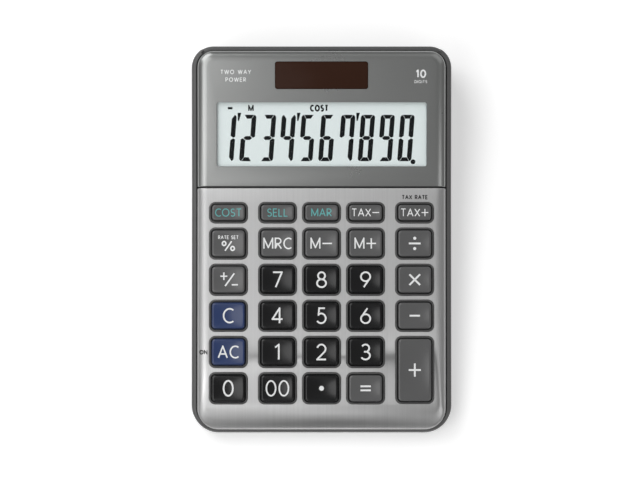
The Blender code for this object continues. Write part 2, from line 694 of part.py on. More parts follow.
def make_board():
    """Printed circuit board with its resin-covered chip and its capacitor."""
    centre = (0.0, (BOARD_FRONT + BOARD_BACK) / 2)
    size = (BOARD_WIDTH, BOARD_BACK - BOARD_FRONT)
    board = box_mesh("main_board", centre, size, (BOARD_BOTTOM, BOARD_TOP), 1.5 * MM, 2)
    add_part("main_board", board, GREEN_BOARD, KEYPAD)

    under = BOARD_BOTTOM - GAP
    chip = ((0.0, 0.0), (5.0 * MM, 0.0), (4.6 * MM, -0.6 * MM), (3.0 * MM, -1.2 * MM), (0.0, -1.4 * MM))
    turned_part("chip_cover", chip, BLACK_RESIN, (*CHIP_PLACE, under), KEYPAD)
    can = (
        (0.0, 0.0),
        (2.2 * MM, 0.0),
        (2.5 * MM, -0.4 * MM),
        (2.5 * MM, -4.6 * MM),
        (2.2 * MM, -5.0 * MM),
        (0.0, -5.0 * MM),
    )
    turned_part("capacitor", can, BLACK_SLEEVE, (*CAPACITOR_PLACE, under), KEYPAD)


def make_battery():
    """Button cell under the board, between a flat contact and a bent one."""
    x, along = CELL_PLACE
    cell = (
        (0.0, 0.0),
        (CELL_RADIUS * 0.8, 0.0),
        (CELL_RADIUS * 0.8, -0.4 * MM),
        (CELL_RADIUS, -0.7 * MM),
        (CELL_RADIUS, 0.3 * MM - CELL_HEIGHT),
        (CELL_RADIUS - 0.3 * MM, -CELL_HEIGHT),
        (0.0, -CELL_HEIGHT),
    )
    turned_part("button_cell", cell, BRIGHT_STEEL, (x, along, CELL_TOP), KEYPAD, 24)

    high = BOARD_BOTTOM - GAP
    contact_levels = (high - CONTACT_THICKNESS, high)
    flat = box_mesh("cell_contact_negative", (x, along), CONTACT_SIZE, contact_levels, MM)
    add_part("cell_contact_negative", flat, BRIGHT_STEEL, KEYPAD)

    low = CELL_TOP - CELL_HEIGHT - GAP - CONTACT_THICKNESS / 2
    beside = along - CELL_RADIUS - 2 * GAP
    path = [
        on_keypad(beside - 3.0 * MM, high - CONTACT_THICKNESS / 2),
        on_keypad(beside, high - CONTACT_THICKNESS / 2),
        on_keypad(beside, low),
        on_keypad(along + CELL_RADIUS * 0.7, low),
    ]
    across = (x - CONTACT_SIZE[0] / 2, x + CONTACT_SIZE[0] / 2)
    add_ribbon("cell_contact_positive", path, across, CONTACT_THICKNESS, BRIGHT_STEEL)


def make_wiring():
    """Flexible ribbon from the board to the glass, and the two leads of the solar cell."""
    below = BOARD_BOTTOM - 1.5 * GAP
    glass_bottom = STACK_TOP - GLASS_THICKNESS
    path = [
        on_keypad(80.0 * MM, below),
        on_keypad(BOARD_BACK + 0.5 * MM, below),
        on_keypad(BOARD_BACK + 3.0 * MM, below + 1.0 * MM),
        on_keypad(KEYPAD_LENGTH, glass_bottom - 1.6 * MM),
        on_display(3.0 * MM, glass_bottom - 1.5 * GAP),
        on_display(8.0 * MM, glass_bottom - 1.5 * GAP),
    ]
    add_ribbon("display_ribbon", path, RIBBON_ACROSS, RIBBON_THICKNESS, AMBER_FILM)

    start = on_display(SOLAR_CENTRE[1], STACK_TOP - SOLAR_THICKNESS - GAP - LEAD_RADIUS)
    under_glass = on_display(LCD_CENTRE[1], glass_bottom - 2.5 * MM)
    end = on_keypad(BOARD_BACK + GAP + LEAD_RADIUS, (BOARD_TOP + BOARD_BOTTOM) / 2)
    for name, side, sleeve in (("positive", 1, RED_SLEEVE), ("negative", -1, BLACK_SLEEVE)):
        route = [
            (side * 12.0 * MM, start[0], start[1]),
            (side * 13.0 * MM, start[0] - 4.0 * MM, start[1] - 3.5 * MM),
            (side * 24.0 * MM, under_glass[0] + 8.0 * MM, under_glass[1] - 1.0 * MM),
            (side * 31.0 * MM, under_glass[0] - 8.0 * MM, under_glass[1] - 3.5 * MM),
            (side * 32.0 * MM, end[0] + 5.0 * MM, end[1] + 0.8 * MM),
            (side * 32.0 * MM, end[0], end[1]),
        ]
        add_lead(f"solar_lead_{name}", smooth_route(route, LEAD_STEPS), LEAD_RADIUS, sleeve)


def smooth_route(route, steps):
    """Points of a Catmull-Rom curve through the route's own points."""
    padded = [route[0], *route, route[-1]]
    points = []
    for before, here, there, after in zip(padded, padded[1:], padded[2:], padded[3:]):
        for step in range(steps):
            t = step / steps
            points.append(
                tuple(
                    0.5
                    * (
                        2 * b
                        + (c - a) * t
                        + (2 * a - 5 * b + 4 * c - d) * t**2
                        + (3 * b - a - 3 * c + d) * t**3
                    )
                    for a, b, c, d in zip(before, here, there, after)
                )
            )
    points.append(route[-1])
    return points


def add_lead(name, points, radius, material):
    """Add one insulated wire as a bevelled curve with closed ends."""
    curve = bpy.data.curves.new(name, "CURVE")
    curve.dimensions = "3D"
    curve.bevel_depth = radius
    curve.bevel_resolution = 2
    curve.use_fill_caps = True
    spline = curve.splines.new("POLY")
    spline.points.add(len(points) - 1)
    for point, place in zip(spline.points, points):
        point.co = (*place, 1.0)
    add_part(name, curve, material)


def make_fasteners():
    """Six case screws, entered from below, and four rubber feet."""
    half_slot = HEAD_HEIGHT * 0.25
    profile = (
        (0.0, SHANK_REACH + GAP + WELL_FLOOR + GAP),
        (SHANK_RADIUS * 0.6, SHANK_REACH + GAP + WELL_FLOOR + GAP),
        (SHANK_RADIUS, SHANK_REACH + WELL_FLOOR),
        (SHANK_RADIUS, 0.0),
        (HEAD_RADIUS, 0.0),
        (HEAD_RADIUS, half_slot - HEAD_HEIGHT),
        (HEAD_RADIUS * 0.8, -HEAD_HEIGHT),
        (0.0, -HEAD_HEIGHT),
    )
    for name, x, y, meeting in SCREWS:
        under_well = meeting - GAP - WELL_FLOOR - GAP
        for side, hand in ((-1, "left"), (1, "right")):
            place = (side * x, y, under_well)
            turned_part(f"case_screw_{name}_{hand}", profile, BRIGHT_STEEL, place, steps=12)

    pad = (
        (0.0, FOOT_HEIGHT),
        (FOOT_RADIUS, FOOT_HEIGHT),
        (FOOT_RADIUS, 0.4 * MM),
        (FOOT_RADIUS - 0.4 * MM, 0.0),
        (0.0, 0.0),
    )
    for y, end in ((-FOOT_Y, "front"), (FOOT_Y, "back")):
        for x, hand in ((-FOOT_X, "left"), (FOOT_X, "right")):
            turned_part(f"foot_{end}_{hand}", pad, BLACK_RUBBER, (x, y, 0.0))


make_rear_case()
make_upper_case()
make_panels()
make_display_stack()
make_keys()
make_key_mat()
make_board()
make_battery()
make_wiring()
make_fasteners()
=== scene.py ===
"""Looks of the sloping solar calculator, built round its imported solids.

The face is two flat slopes that meet at a seam. Most pieces start as a block in flat
coordinates, get their rounded corners and rolled edges there, and are then laid over the slopes.
Pieces on the keypad or the display are made flat too and placed by that slope's matrix. Lengths
are metres, and MM turns millimetres into them.
"""

from __future__ import annotations

import json
import logging
import math
from collections.abc import Callable, Iterator, Sequence
from contextlib import contextmanager
from dataclasses import dataclass, field
from enum import Enum

import bmesh
import bpy
from mathutils import Matrix, Vector

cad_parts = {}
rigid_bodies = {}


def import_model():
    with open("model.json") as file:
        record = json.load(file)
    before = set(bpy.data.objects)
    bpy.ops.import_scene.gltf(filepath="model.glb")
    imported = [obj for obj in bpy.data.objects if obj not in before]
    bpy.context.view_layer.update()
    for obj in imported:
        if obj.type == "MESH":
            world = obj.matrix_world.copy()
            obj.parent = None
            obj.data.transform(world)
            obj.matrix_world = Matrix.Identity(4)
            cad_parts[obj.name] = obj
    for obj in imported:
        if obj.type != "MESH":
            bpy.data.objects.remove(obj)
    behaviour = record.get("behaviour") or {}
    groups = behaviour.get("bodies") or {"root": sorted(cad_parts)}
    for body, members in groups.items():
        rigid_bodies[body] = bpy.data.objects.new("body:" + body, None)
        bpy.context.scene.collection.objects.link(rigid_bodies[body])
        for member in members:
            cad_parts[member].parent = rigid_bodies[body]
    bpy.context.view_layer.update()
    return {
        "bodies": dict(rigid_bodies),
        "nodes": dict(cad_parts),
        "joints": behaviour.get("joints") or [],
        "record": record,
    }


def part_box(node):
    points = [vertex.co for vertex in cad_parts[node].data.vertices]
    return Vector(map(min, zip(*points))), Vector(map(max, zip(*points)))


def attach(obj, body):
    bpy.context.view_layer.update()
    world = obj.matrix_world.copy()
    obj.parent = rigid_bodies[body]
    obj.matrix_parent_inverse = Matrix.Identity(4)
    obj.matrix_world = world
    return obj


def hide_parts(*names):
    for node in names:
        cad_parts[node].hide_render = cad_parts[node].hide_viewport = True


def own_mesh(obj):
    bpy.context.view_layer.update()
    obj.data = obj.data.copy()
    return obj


LOG = logging.getLogger("calculator")
MM = 0.001
CASE = "case"

Point = tuple[float, float]
Stroke = list[Point]


# ---------------------------------------------------------------------------------------------
# The shape of the face
# ---------------------------------------------------------------------------------------------


@dataclass(frozen=True)
class Slopes:
    """The two slopes of the face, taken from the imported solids.

    Attributes:
        half_width: half of the case's width.
        front_y: the case's front edge.
        back_y: the case's back edge.
        seam_y: where the keypad slope meets the display slope.
        seam_height: height of the face at the seam.
        keypad_slope: angle of the keypad, in radians.
        display_slope: angle of the display panel, in radians.
        fall_start: distance from the front edge at which the face starts to fall away.
        fall_reach: half-axis of the fall's ellipse along the face.
        fall_drop: half-axis of the fall's ellipse downwards.
        front_share: how much of a rolled edge's drop is left at the front edge.
        curl_reach: distance from the seam over which the keypad's sheet turns up.
        curl_slope: how steeply it has turned up at the seam, in radians.
    """

    half_width: float
    front_y: float
    back_y: float
    seam_y: float
    seam_height: float
    keypad_slope: float
    display_slope: float = math.radians(10.5)
    fall_start: float = 11.45 * MM
    fall_reach: float = 13.0 * MM
    fall_drop: float = 8.0 * MM
    front_share: float = 0.2
    curl_reach: float = 4.6 * MM
    curl_slope: float = math.radians(6.0)

    @classmethod
    def from_frame(cls, frame: dict) -> Slopes:
        """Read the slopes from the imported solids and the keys' joints.


        Returns:
            The slopes of this calculator.
        """
        low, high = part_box("rear_case")
        plate_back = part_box("faceplate")[1]
        panel_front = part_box("display_panel")[0]
        keypad_slope = math.asin(frame["joints"][0]["axis"][1])
        seam_y = (plate_back.y + panel_front.y) / 2
        seam_height = plate_back.z + (seam_y - plate_back.y) * math.tan(keypad_slope)
        return cls(high.x, low.y, high.y, seam_y, seam_height, keypad_slope)

    def slope_height(self, y: float) -> float:
        """Height of the bare slopes at y, carried straight on to both ends."""
        slope = self.display_slope if y > self.seam_y else self.keypad_slope
        return self.seam_height + (y - self.seam_y) * math.tan(slope)

    def face_height(self, y: float) -> float:
        """Height of the face at y, with its fall at the front."""
        past = (self.front_y + self.fall_start - y) / self.fall_reach
        past = min(max(past, 0.0), 1.0)
        return self.slope_height(y) - self.fall_drop * (1.0 - math.sqrt(1.0 - past * past))

    def curl(self, y: float) -> float:
        """Height that the keypad's sheet gains at y as it turns up towards the seam."""
        if y > self.seam_y:
            return 0.0
        along = max(y - self.seam_y + self.curl_reach, 0.0)
        return 0.5 * math.tan(self.curl_slope) * along * along / self.curl_reach

    def share(self, y: float) -> float:
        """Share of a rolled edge's drop that applies at y."""
        way = min(max((y - self.front_y) / self.fall_start, 0.0), 1.0)
        return self.front_share + (1.0 - self.front_share) * way * way * (3.0 - 2.0 * way)

    def keypad(self) -> Matrix:
        """Place of the keypad slope, with its origin at the front edge."""
        length = (self.seam_y - self.front_y) / math.cos(self.keypad_slope)
        height = self.seam_height - length * math.sin(self.keypad_slope)
        place = Matrix.Translation((0.0, self.front_y, height))
        return place @ Matrix.Rotation(self.keypad_slope, 4, "X")

    def display(self) -> Matrix:
        """Place of the display slope, with its origin at the seam."""
        place = Matrix.Translation((0.0, self.seam_y, self.seam_height))
        return place @ Matrix.Rotation(self.display_slope, 4, "X")

    def lay(self, piece: bpy.types.Object, bottom: Callable[[float, float], float] | None = None,
            bottom_below: float = -5.0 * MM) -> None:
        """Lay a piece made in flat coordinates over the face.

        Args:
            piece: the piece, whose heights are measured from the face.
            bottom: gives the height of a vertex of the lower part from its y and flat height.
            bottom_below: flat height under which a vertex belongs to the lower part.
        """
        for vertex in piece.data.vertices:
            spot = vertex.co
            if bottom is not None and spot.z < bottom_below:
                spot.z = bottom(spot.y, spot.z)
            else:
                spot.z = self.face_height(spot.y) + self.share(spot.y) * spot.z


# ---------------------------------------------------------------------------------------------
# Modelling by hand
# ---------------------------------------------------------------------------------------------


class Element(Enum):
    """What an edit-mode selection is made of."""

    VERTEX = "VERT"
    EDGE = "EDGE"
    FACE = "FACE"


def choose(piece: bpy.types.Object) -> None:
    """Select one piece and nothing else.

    Args:
        piece: the piece to select and make active.
    """
    bpy.ops.object.select_all(action="DESELECT")
    piece.select_set(True)
    bpy.context.view_layer.objects.active = piece


@contextmanager
def editing(piece: bpy.types.Object) -> Iterator[None]:
    """Hold one piece in edit mode, with nothing else selected.

    Args:
        piece: the piece to edit.
    """
    choose(piece)
    bpy.ops.object.mode_set(mode="EDIT")
    yield
    bpy.ops.object.mode_set(mode="OBJECT")


def pick(piece: bpy.types.Object, element: Element, test: Callable[..., bool]) -> None:
    """Select elements of a piece that is in edit mode.

    Args:
        piece: the piece in edit mode.
        element: vertices, edges or faces.
        test: says whether an element is wanted.
    """
    bpy.ops.mesh.select_all(action="DESELECT")
    bpy.ops.mesh.select_mode(type=element.value)
    bm = bmesh.from_edit_mesh(piece.data)
    layers = {Element.VERTEX: bm.verts, Element.EDGE: bm.edges, Element.FACE: bm.faces}
    for item in layers[element]:
        item.select_set(test(item))
    bm.select_flush_mode()
    bmesh.update_edit_mesh(piece.data)


def block(name: str, low: Sequence[float], high: Sequence[float]) -> bpy.types.Object:
    """Add a box between two corners, as the start of a piece.

    Args:
        name: the piece's name.
        low: lowest corner.
        high: highest corner.

    Returns:
        The new piece, at the origin and with its place in its mesh.
    """
    bpy.ops.object.select_all(action="DESELECT")
    middle = [(a + b) / 2 for a, b in zip(low, high)]
    size = [b - a for a, b in zip(low, high)]
    bpy.ops.mesh.primitive_cube_add(size=1.0, location=middle, scale=size)
    piece = bpy.context.object
    piece.name = name
    piece.data.name = name
    bpy.ops.object.transform_apply(location=True, rotation=True, scale=True)
    return piece


def round_corners(piece: bpy.types.Object, radius: float, segments: int,
                  wanted: Callable[[Vector], bool] = lambda middle: True) -> None:
    """Round the upright corners of a block.

    Args:
        piece: the block.
        radius: the corners' radius.
        segments: faces round each corner.
        wanted: says from the middle of an edge whether it is rounded.
    """
    with editing(piece):
        pick(
            piece,
            Element.EDGE,
            lambda edge: abs((edge.verts[0].co - edge.verts[1].co).normalized().z) > 0.99
            and wanted((edge.verts[0].co + edge.verts[1].co) / 2),
        )
        bpy.ops.mesh.bevel(offset=radius, segments=segments, affect="EDGES", clamp_overlap=False)


def pick_end(piece: bpy.types.Object, top: bool) -> None:
    """Select the highest or the lowest face of a piece in edit mode.

    Args:
        piece: the piece in edit mode.
        top: the highest face rather than the lowest.
    """
    bm = bmesh.from_edit_mesh(piece.data)
    bm.faces.ensure_lookup_table()
    flat = [face for face in bm.faces if abs(face.normal.z) > 0.99]
    heights = [face.calc_center_median().z for face in flat]
    level = max(heights) if top else min(heights)
    wanted = {face.index for face, height in zip(flat, heights) if abs(height - level) < 1e-7}
    pick(piece, Element.FACE, lambda face: face.index in wanted)


def step_in(inset: float, rise: float) -> None:
    """Inset the selected face and move it along its normal."""
    bpy.ops.mesh.inset(thickness=inset, depth=rise)


def extrude_up(rise: float) -> None:
    """Extrude the selected face straight up, or down where rise is negative."""
    bpy.ops.mesh.extrude_region_move(TRANSFORM_OT_translate={"value": (0.0, 0.0, rise)})


def cut_across(piece: bpy.types.Object, stations: Sequence[float]) -> None:
    """Cut a piece's faces along planes across the case, so that it can bend there.

    Args:
        piece: the piece to cut.
        stations: the planes' y.
    """
    with editing(piece):
        for y in stations:
            bpy.ops.mesh.select_all(action="SELECT")
            bpy.ops.mesh.bisect(plane_co=(0.0, y, 0.0), plane_no=(0.0, 1.0, 0.0))


def keep_side(piece: bpy.types.Object, y: float, front: bool) -> None:
    """Keep the part of a piece on one side of a plane and close the cut.

    Args:
        piece: the piece to cut.
        y: the plane's y.
        front: keep the front side rather than the back.
    """
    with editing(piece):
        bpy.ops.mesh.select_all(action="SELECT")
        bpy.ops.mesh.bisect(
            plane_co=(0.0, y, 0.0),
            plane_no=(0.0, 1.0, 0.0),
            use_fill=True,
            clear_outer=front,
            clear_inner=not front,
        )


def apply_modifier(piece: bpy.types.Object, kind: str, **settings: object) -> None:
    """Add one modifier to a piece and apply it.

    Args:
        piece: the piece to change.
        kind: the modifier's type.
        **settings: values of its settings.
    """
    choose(piece)
    modifier = piece.modifiers.new(kind.lower(), kind)
    for name, value in settings.items():
        setattr(modifier, name, value)
    bpy.ops.object.modifier_apply(modifier=modifier.name)


def carve(piece: bpy.types.Object, cutter: bpy.types.Object) -> None:
    """Cut one piece out of another and remove the cutter.

    Args:
        piece: the piece that is cut.
        cutter: the shape that is taken away.
    """
    apply_modifier(piece, "BOOLEAN", object=cutter, operation="DIFFERENCE", solver="EXACT")
    bpy.data.objects.remove(cutter)


def soften(piece: bpy.types.Object, width: float, segments: int = 3, angle: float = 40.0) -> None:
    """Round every edge that is sharper than an angle.

    Args:
        piece: the piece to soften.
        width: width of the rounding.
        segments: faces across the rounding.
        angle: least angle between faces, in degrees.
    """
    apply_modifier(
        piece,
        "BEVEL",
        width=width,
        segments=segments,
        limit_method="ANGLE",
        angle_limit=math.radians(angle),
        use_clamp_overlap=True,
        harden_normals=False,
    )


def shade(piece: bpy.types.Object, angle: float = 32.0) -> None:
    """Shade a piece smooth, but for edges sharper than an angle.

    Args:
        piece: the piece to shade.
        angle: the least angle that stays sharp, in degrees.
    """
    choose(piece)
    bpy.ops.object.shade_smooth_by_angle(angle=math.radians(angle), keep_sharp_edges=False)


def joined(name: str, pieces: Sequence[bpy.types.Object]) -> bpy.types.Object:
    """Join several pieces into one.

    Args:
        name: name of the joined piece.
        pieces: the pieces, of which the first takes in the others.

    Returns:
        The joined piece.
    """
    bpy.ops.object.select_all(action="DESELECT")
    for piece in pieces:
        piece.select_set(True)
    bpy.context.view_layer.objects.active = pieces[0]
    if len(pieces) > 1:
        bpy.ops.object.join()
    pieces[0].name = name
    pieces[0].data.name = name
    return pieces[0]


def duplicate(piece: bpy.types.Object, name: str) -> bpy.types.Object:
    """Copy a piece with a mesh of its own.

    Args:
        piece: the piece to copy.
        name: the copy's name.

    Returns:
        The copy.
    """
    copy = bpy.data.objects.new(name, piece.data.copy())
    copy.data.name = name
    bpy.context.scene.collection.objects.link(copy)
    return copy


def rounded_block(name: str, centre: Point, size: Point, levels: Point, radius: float,
                  segments: int = 8) -> bpy.types.Object:
    """Add a block with rounded upright corners.

    Args:
        name: the piece's name.
        centre: its middle in plan.
        size: its width and depth.
        levels: its lowest and highest level.
        radius: the corners' radius.
        segments: faces round each corner.

    Returns:
        The new piece.
    """
    low = (centre[0] - size[0] / 2, centre[1] - size[1] / 2, levels[0])
    high = (centre[0] + size[0] / 2, centre[1] + size[1] / 2, levels[1])
    piece = block(name, low, high)
    round_corners(piece, radius, segments)
    return piece


def extent(nodes: Sequence[str], place: Matrix) -> tuple[Vector, Vector]:
    """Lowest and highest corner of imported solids, measured on a slope.

    Args:
        nodes: names of the solids.
        place: the slope's place.

    Returns:
        The two corners.
    """
    flat = place.inverted()
    points = [flat @ v.co for node in nodes for v in bpy.data.objects[node].data.vertices]
    low = Vector(min(point[i] for point in points) for i in range(3))
    high = Vector(max(point[i] for point in points) for i in range(3))
    return low, high


def rounded_over(name: str, box: tuple[Vector, Vector], levels: Point, radius: float,
                 segments: int, room: float = 0.0) -> bpy.types.Object:
    """Add a block with rounded upright corners over the plan of a box.

    Args:
        name: the piece's name.
        box: the box's lowest and highest corner.
        levels: the block's lowest and highest level.
        radius: the corners' radius.
        segments: faces round each corner.
        room: how much wider than the box the block is, on each side.

    Returns:
        The new piece.
    """
    low, high = box
    centre = ((low.x + high.x) / 2, (low.y + high.y) / 2)
    size = (high.x - low.x + 2 * room, high.y - low.y + 2 * room)
    return rounded_block(name, centre, size, levels, radius, segments)


def post(name: str, spot: Vector, radius: float, levels: Point) -> bpy.types.Object:
    """Add an upright round post.

    Args:
        name: its name.
        spot: its middle in plan.
        radius: its radius.
        levels: its lowest and highest level.

    Returns:
        The post.
    """
    bpy.ops.object.select_all(action="DESELECT")
    bpy.ops.mesh.primitive_cylinder_add(
        vertices=48,
        radius=radius,
        depth=levels[1] - levels[0],
        location=(spot.x, spot.y, (levels[0] + levels[1]) / 2),
    )
    bpy.ops.object.transform_apply(location=True, rotation=True, scale=True)
    bpy.context.object.name = name
    return bpy.context.object


def roll_edge(width: float, drop: float, steps: int, sign: float = 1.0) -> None:
    """Raise the selected face in a quarter ellipse, ring by ring.

    Args:
        width: how far in the roll reaches.
        drop: how high it rises.
        steps: rings in the roll.
        sign: 1 where the face's normal points up, and -1 on an underside.
    """
    for step in range(steps):
        here, there = (math.pi / 2 * (step + more) / steps for more in (0, 1))
        inset = width * (math.cos(here) - math.cos(there))
        step_in(inset, sign * drop * (math.sin(there) - math.sin(here)))


# ---------------------------------------------------------------------------------------------
# Finishes
# ---------------------------------------------------------------------------------------------


class Graph:
    """Short ways to add and join nodes in one tree."""

    def __init__(self, tree: bpy.types.NodeTree) -> None:
        """Work on a tree.

        Args:
            tree: a material's or a group's node tree.
        """
        self.tree = tree

    def add(self, kind: str, values: dict[str, object] | None = None,
            **settings: object) -> bpy.types.Node:
        """Add one node.

        Args:
            kind: the node's type without its ShaderNode prefix.
            values: values of its inputs, by name.
            **settings: values of its own settings.

        Returns:
            The new node.
        """
        node = self.tree.nodes.new(kind if kind.startswith("Node") else "ShaderNode" + kind)
        for name, value in settings.items():
            setattr(node, name, value)
        for name, value in (values or {}).items():
            node.inputs[name].default_value = value
        return node

    def join(self, source: bpy.types.Node, output: str, target: bpy.types.Node,
             socket: str) -> None:
        """Link an output to an input by their names."""
        self.tree.links.new(source.outputs[output], target.inputs[socket])

    def work_out(self, operation: str, *terms: float | bpy.types.NodeSocket) -> bpy.types.Node:
        """Add a node that works out a value.

        Args:
            operation: the operation of a Math node.
            *terms: its terms, each a number or another node's output.

        Returns:
            The new node.
        """
        node = self.add("Math", operation=operation)
        for socket, term in zip(node.inputs, terms):
            if isinstance(term, float):
                socket.default_value = term
            else:
                self.tree.links.new(term, socket)
        return node


def new_group(name: str, inputs: dict[str, float], outputs: Sequence[str]) -> bpy.types.NodeTree:
    """Start a node group with a Vector input, some numbers in, and some values out.

    Args:
        name: the group's name.
        inputs: the number inputs and their usual values.
        outputs: names of its value outputs.

    Returns:
        The empty group.
    """
    group = bpy.data.node_groups.new(name, "ShaderNodeTree")
    group.interface.new_socket("Vector", in_out="INPUT", socket_type="NodeSocketVector")
    for socket, value in inputs.items():
        made = group.interface.new_socket(socket, in_out="INPUT", socket_type="NodeSocketFloat")
        made.default_value = value
    for socket in outputs:
        group.interface.new_socket(socket, in_out="OUTPUT", socket_type="NodeSocketFloat")
    return group


class SurfaceEffects:
    """Node groups that several finishes share, each built once."""

    def __init__(self) -> None:
        """Build the groups."""
        self.grain = self._grain()
        self.brushing = self._brushing()
        self.handling = self._handling()

    @staticmethod
    def _grain() -> bpy.types.NodeTree:
        """Fine spark-eroded texture of moulded plastic: small cells over softer noise."""
        group = new_group("moulded_grain", {"Size": 0.0002}, ("Height", "Tone"))
        graph = Graph(group)
        start, end = graph.add("NodeGroupInput"), graph.add("NodeGroupOutput")
        scale = graph.work_out("DIVIDE", 1.0, start.outputs["Size"])
        cells = graph.add("TexVoronoi", {"Randomness": 1.0}, feature="SMOOTH_F1")
        noise = graph.add("TexNoise", {"Detail": 3.0, "Roughness": 0.6})
        for texture in (cells, noise):
            graph.join(start, "Vector", texture, "Vector")
            graph.join(scale, "Value", texture, "Scale")
        mixed = graph.work_out("MULTIPLY_ADD", cells.outputs["Distance"], 0.5, noise.outputs["Fac"])
        graph.join(mixed, "Value", end, "Height")
        graph.join(noise, "Fac", end, "Tone")
        return group

    @staticmethod
    def _brushing() -> bpy.types.NodeTree:
        """Streaks along Y: a fine layer and a coarse one, both long and thin."""
        group = new_group("brushed_streaks", {"Width": 0.00006, "Length": 0.03}, ("Height", "Tone"))
        graph = Graph(group)
        start, end = graph.add("NodeGroupInput"), graph.add("NodeGroupOutput")
        split = graph.add("SeparateXYZ")
        graph.join(start, "Vector", split, "Vector")
        across = graph.work_out("DIVIDE", split.outputs["X"], start.outputs["Width"])
        along = graph.work_out("DIVIDE", split.outputs["Y"], start.outputs["Length"])
        flat = graph.add("CombineXYZ")
        graph.join(across, "Value", flat, "X")
        graph.join(along, "Value", flat, "Y")
        fine = graph.add("TexNoise", {"Scale": 1.0, "Detail": 4.0, "Roughness": 0.7})
        coarse = graph.add("TexNoise", {"Scale": 0.08, "Detail": 2.0, "Roughness": 0.5})
        for texture in (fine, coarse):
            graph.join(flat, "Vector", texture, "Vector")
        rest = graph.work_out("MULTIPLY", coarse.outputs["Fac"], 0.55)
        mixed = graph.work_out("MULTIPLY_ADD", fine.outputs["Fac"], 0.45, rest.outputs["Value"])
        graph.join(fine, "Fac", end, "Height")
        graph.join(mixed, "Value", end, "Tone")
        return group

    @staticmethod
    def _handling() -> bpy.types.NodeTree:
        """Soft patches where hands have made a surface a little shinier."""
        group = new_group("handling", {"Size": 0.02}, ("Mask",))
        graph = Graph(group)
        start, end = graph.add("NodeGroupInput"), graph.add("NodeGroupOutput")
        scale = graph.work_out("DIVIDE", 1.0, start.outputs["Size"])
        noise = graph.add("TexNoise", {"Detail": 5.0, "Roughness": 0.55, "Distortion": 0.4})
        graph.join(start, "Vector", noise, "Vector")
        graph.join(scale, "Value", noise, "Scale")
        spread = graph.add(
            "MapRange", {"From Min": 0.3, "From Max": 0.7, "To Min": 0.0, "To Max": 1.0}
        )
        graph.join(noise, "Fac", spread, "Value")
        graph.join(spread, "Result", end, "Mask")
        return group


Colour = tuple[float, float, float]


@dataclass(frozen=True)
class Finish:
    """A surface finish with a grain or streaks and a slight change of tone and gloss.

    Attributes:
        name: the material's name.
        colour: base colour.
        roughness: least and greatest roughness.
        metallic: share of metal.
        tone: how far the colour's brightness varies, as a share.
        grain: size of the texture, in metres.
        relief: depth of the texture, in metres.
        streaked: streaks along Y rather than grain.
        coat: weight of a clear coat.
        coat_roughness: roughness of that coat.
        specular: specular level.
        alpha: opacity.
        anisotropy: stretch of the highlights across the streaks.
    """

    name: str
    colour: Colour
    roughness: Point = (0.4, 0.5)
    metallic: float = 0.0
    tone: float = 0.06
    grain: float = 0.2 * MM
    relief: float = 0.004 * MM
    streaked: bool = False
    coat: float = 0.0
    coat_roughness: float = 0.05
    specular: float = 0.5
    alpha: float = 1.0
    anisotropy: float = 0.0

    def make(self, effects: SurfaceEffects) -> bpy.types.Material:
        """Build the material.

        Args:
            effects: the shared node groups.

        Returns:
            The finished material.
        """
        material = bpy.data.materials.new(self.name)
        material.use_nodes = True
        graph = Graph(material.node_tree)
        shader = material.node_tree.nodes["Principled BSDF"]
        for socket, value in (
            ("Metallic", self.metallic),
            ("Coat Weight", self.coat),
            ("Coat Roughness", self.coat_roughness),
            ("Specular IOR Level", self.specular),
            ("Alpha", self.alpha),
            ("Anisotropic", self.anisotropy),
        ):
            shader.inputs[socket].default_value = value
        place = graph.add("TexCoord")
        texture = graph.add("Group")
        texture.node_tree = effects.brushing if self.streaked else effects.grain
        texture.inputs["Width" if self.streaked else "Size"].default_value = self.grain
        graph.join(place, "Object", texture, "Vector")
        handled = graph.add("Group")
        handled.node_tree = effects.handling
        graph.join(place, "Object", handled, "Vector")
        tones = graph.add("MixRGB", blend_type="MIX")
        dark = [part * (1.0 - self.tone) for part in self.colour]
        light = [min(part * (1.0 + self.tone), 1.0) for part in self.colour]
        tones.inputs["Color1"].default_value = (*dark, 1.0)
        tones.inputs["Color2"].default_value = (*light, 1.0)
        graph.join(texture, "Tone", tones, "Fac")
        graph.join(tones, "Color", shader, "Base Color")
        gloss = graph.add("MapRange", {"To Min": self.roughness[1], "To Max": self.roughness[0]})
        graph.join(handled, "Mask", gloss, "Value")
        graph.join(gloss, "Result", shader, "Roughness")
        bump = graph.add("Bump", {"Strength": 1.0, "Distance": self.relief})
        graph.join(texture, "Height", bump, "Height")
        graph.join(bump, "Normal", shader, "Normal")
        if self.anisotropy:
            tangent = graph.add("Tangent", direction_type="RADIAL", axis="Y")
            graph.join(tangent, "Tangent", shader, "Tangent")
        return material


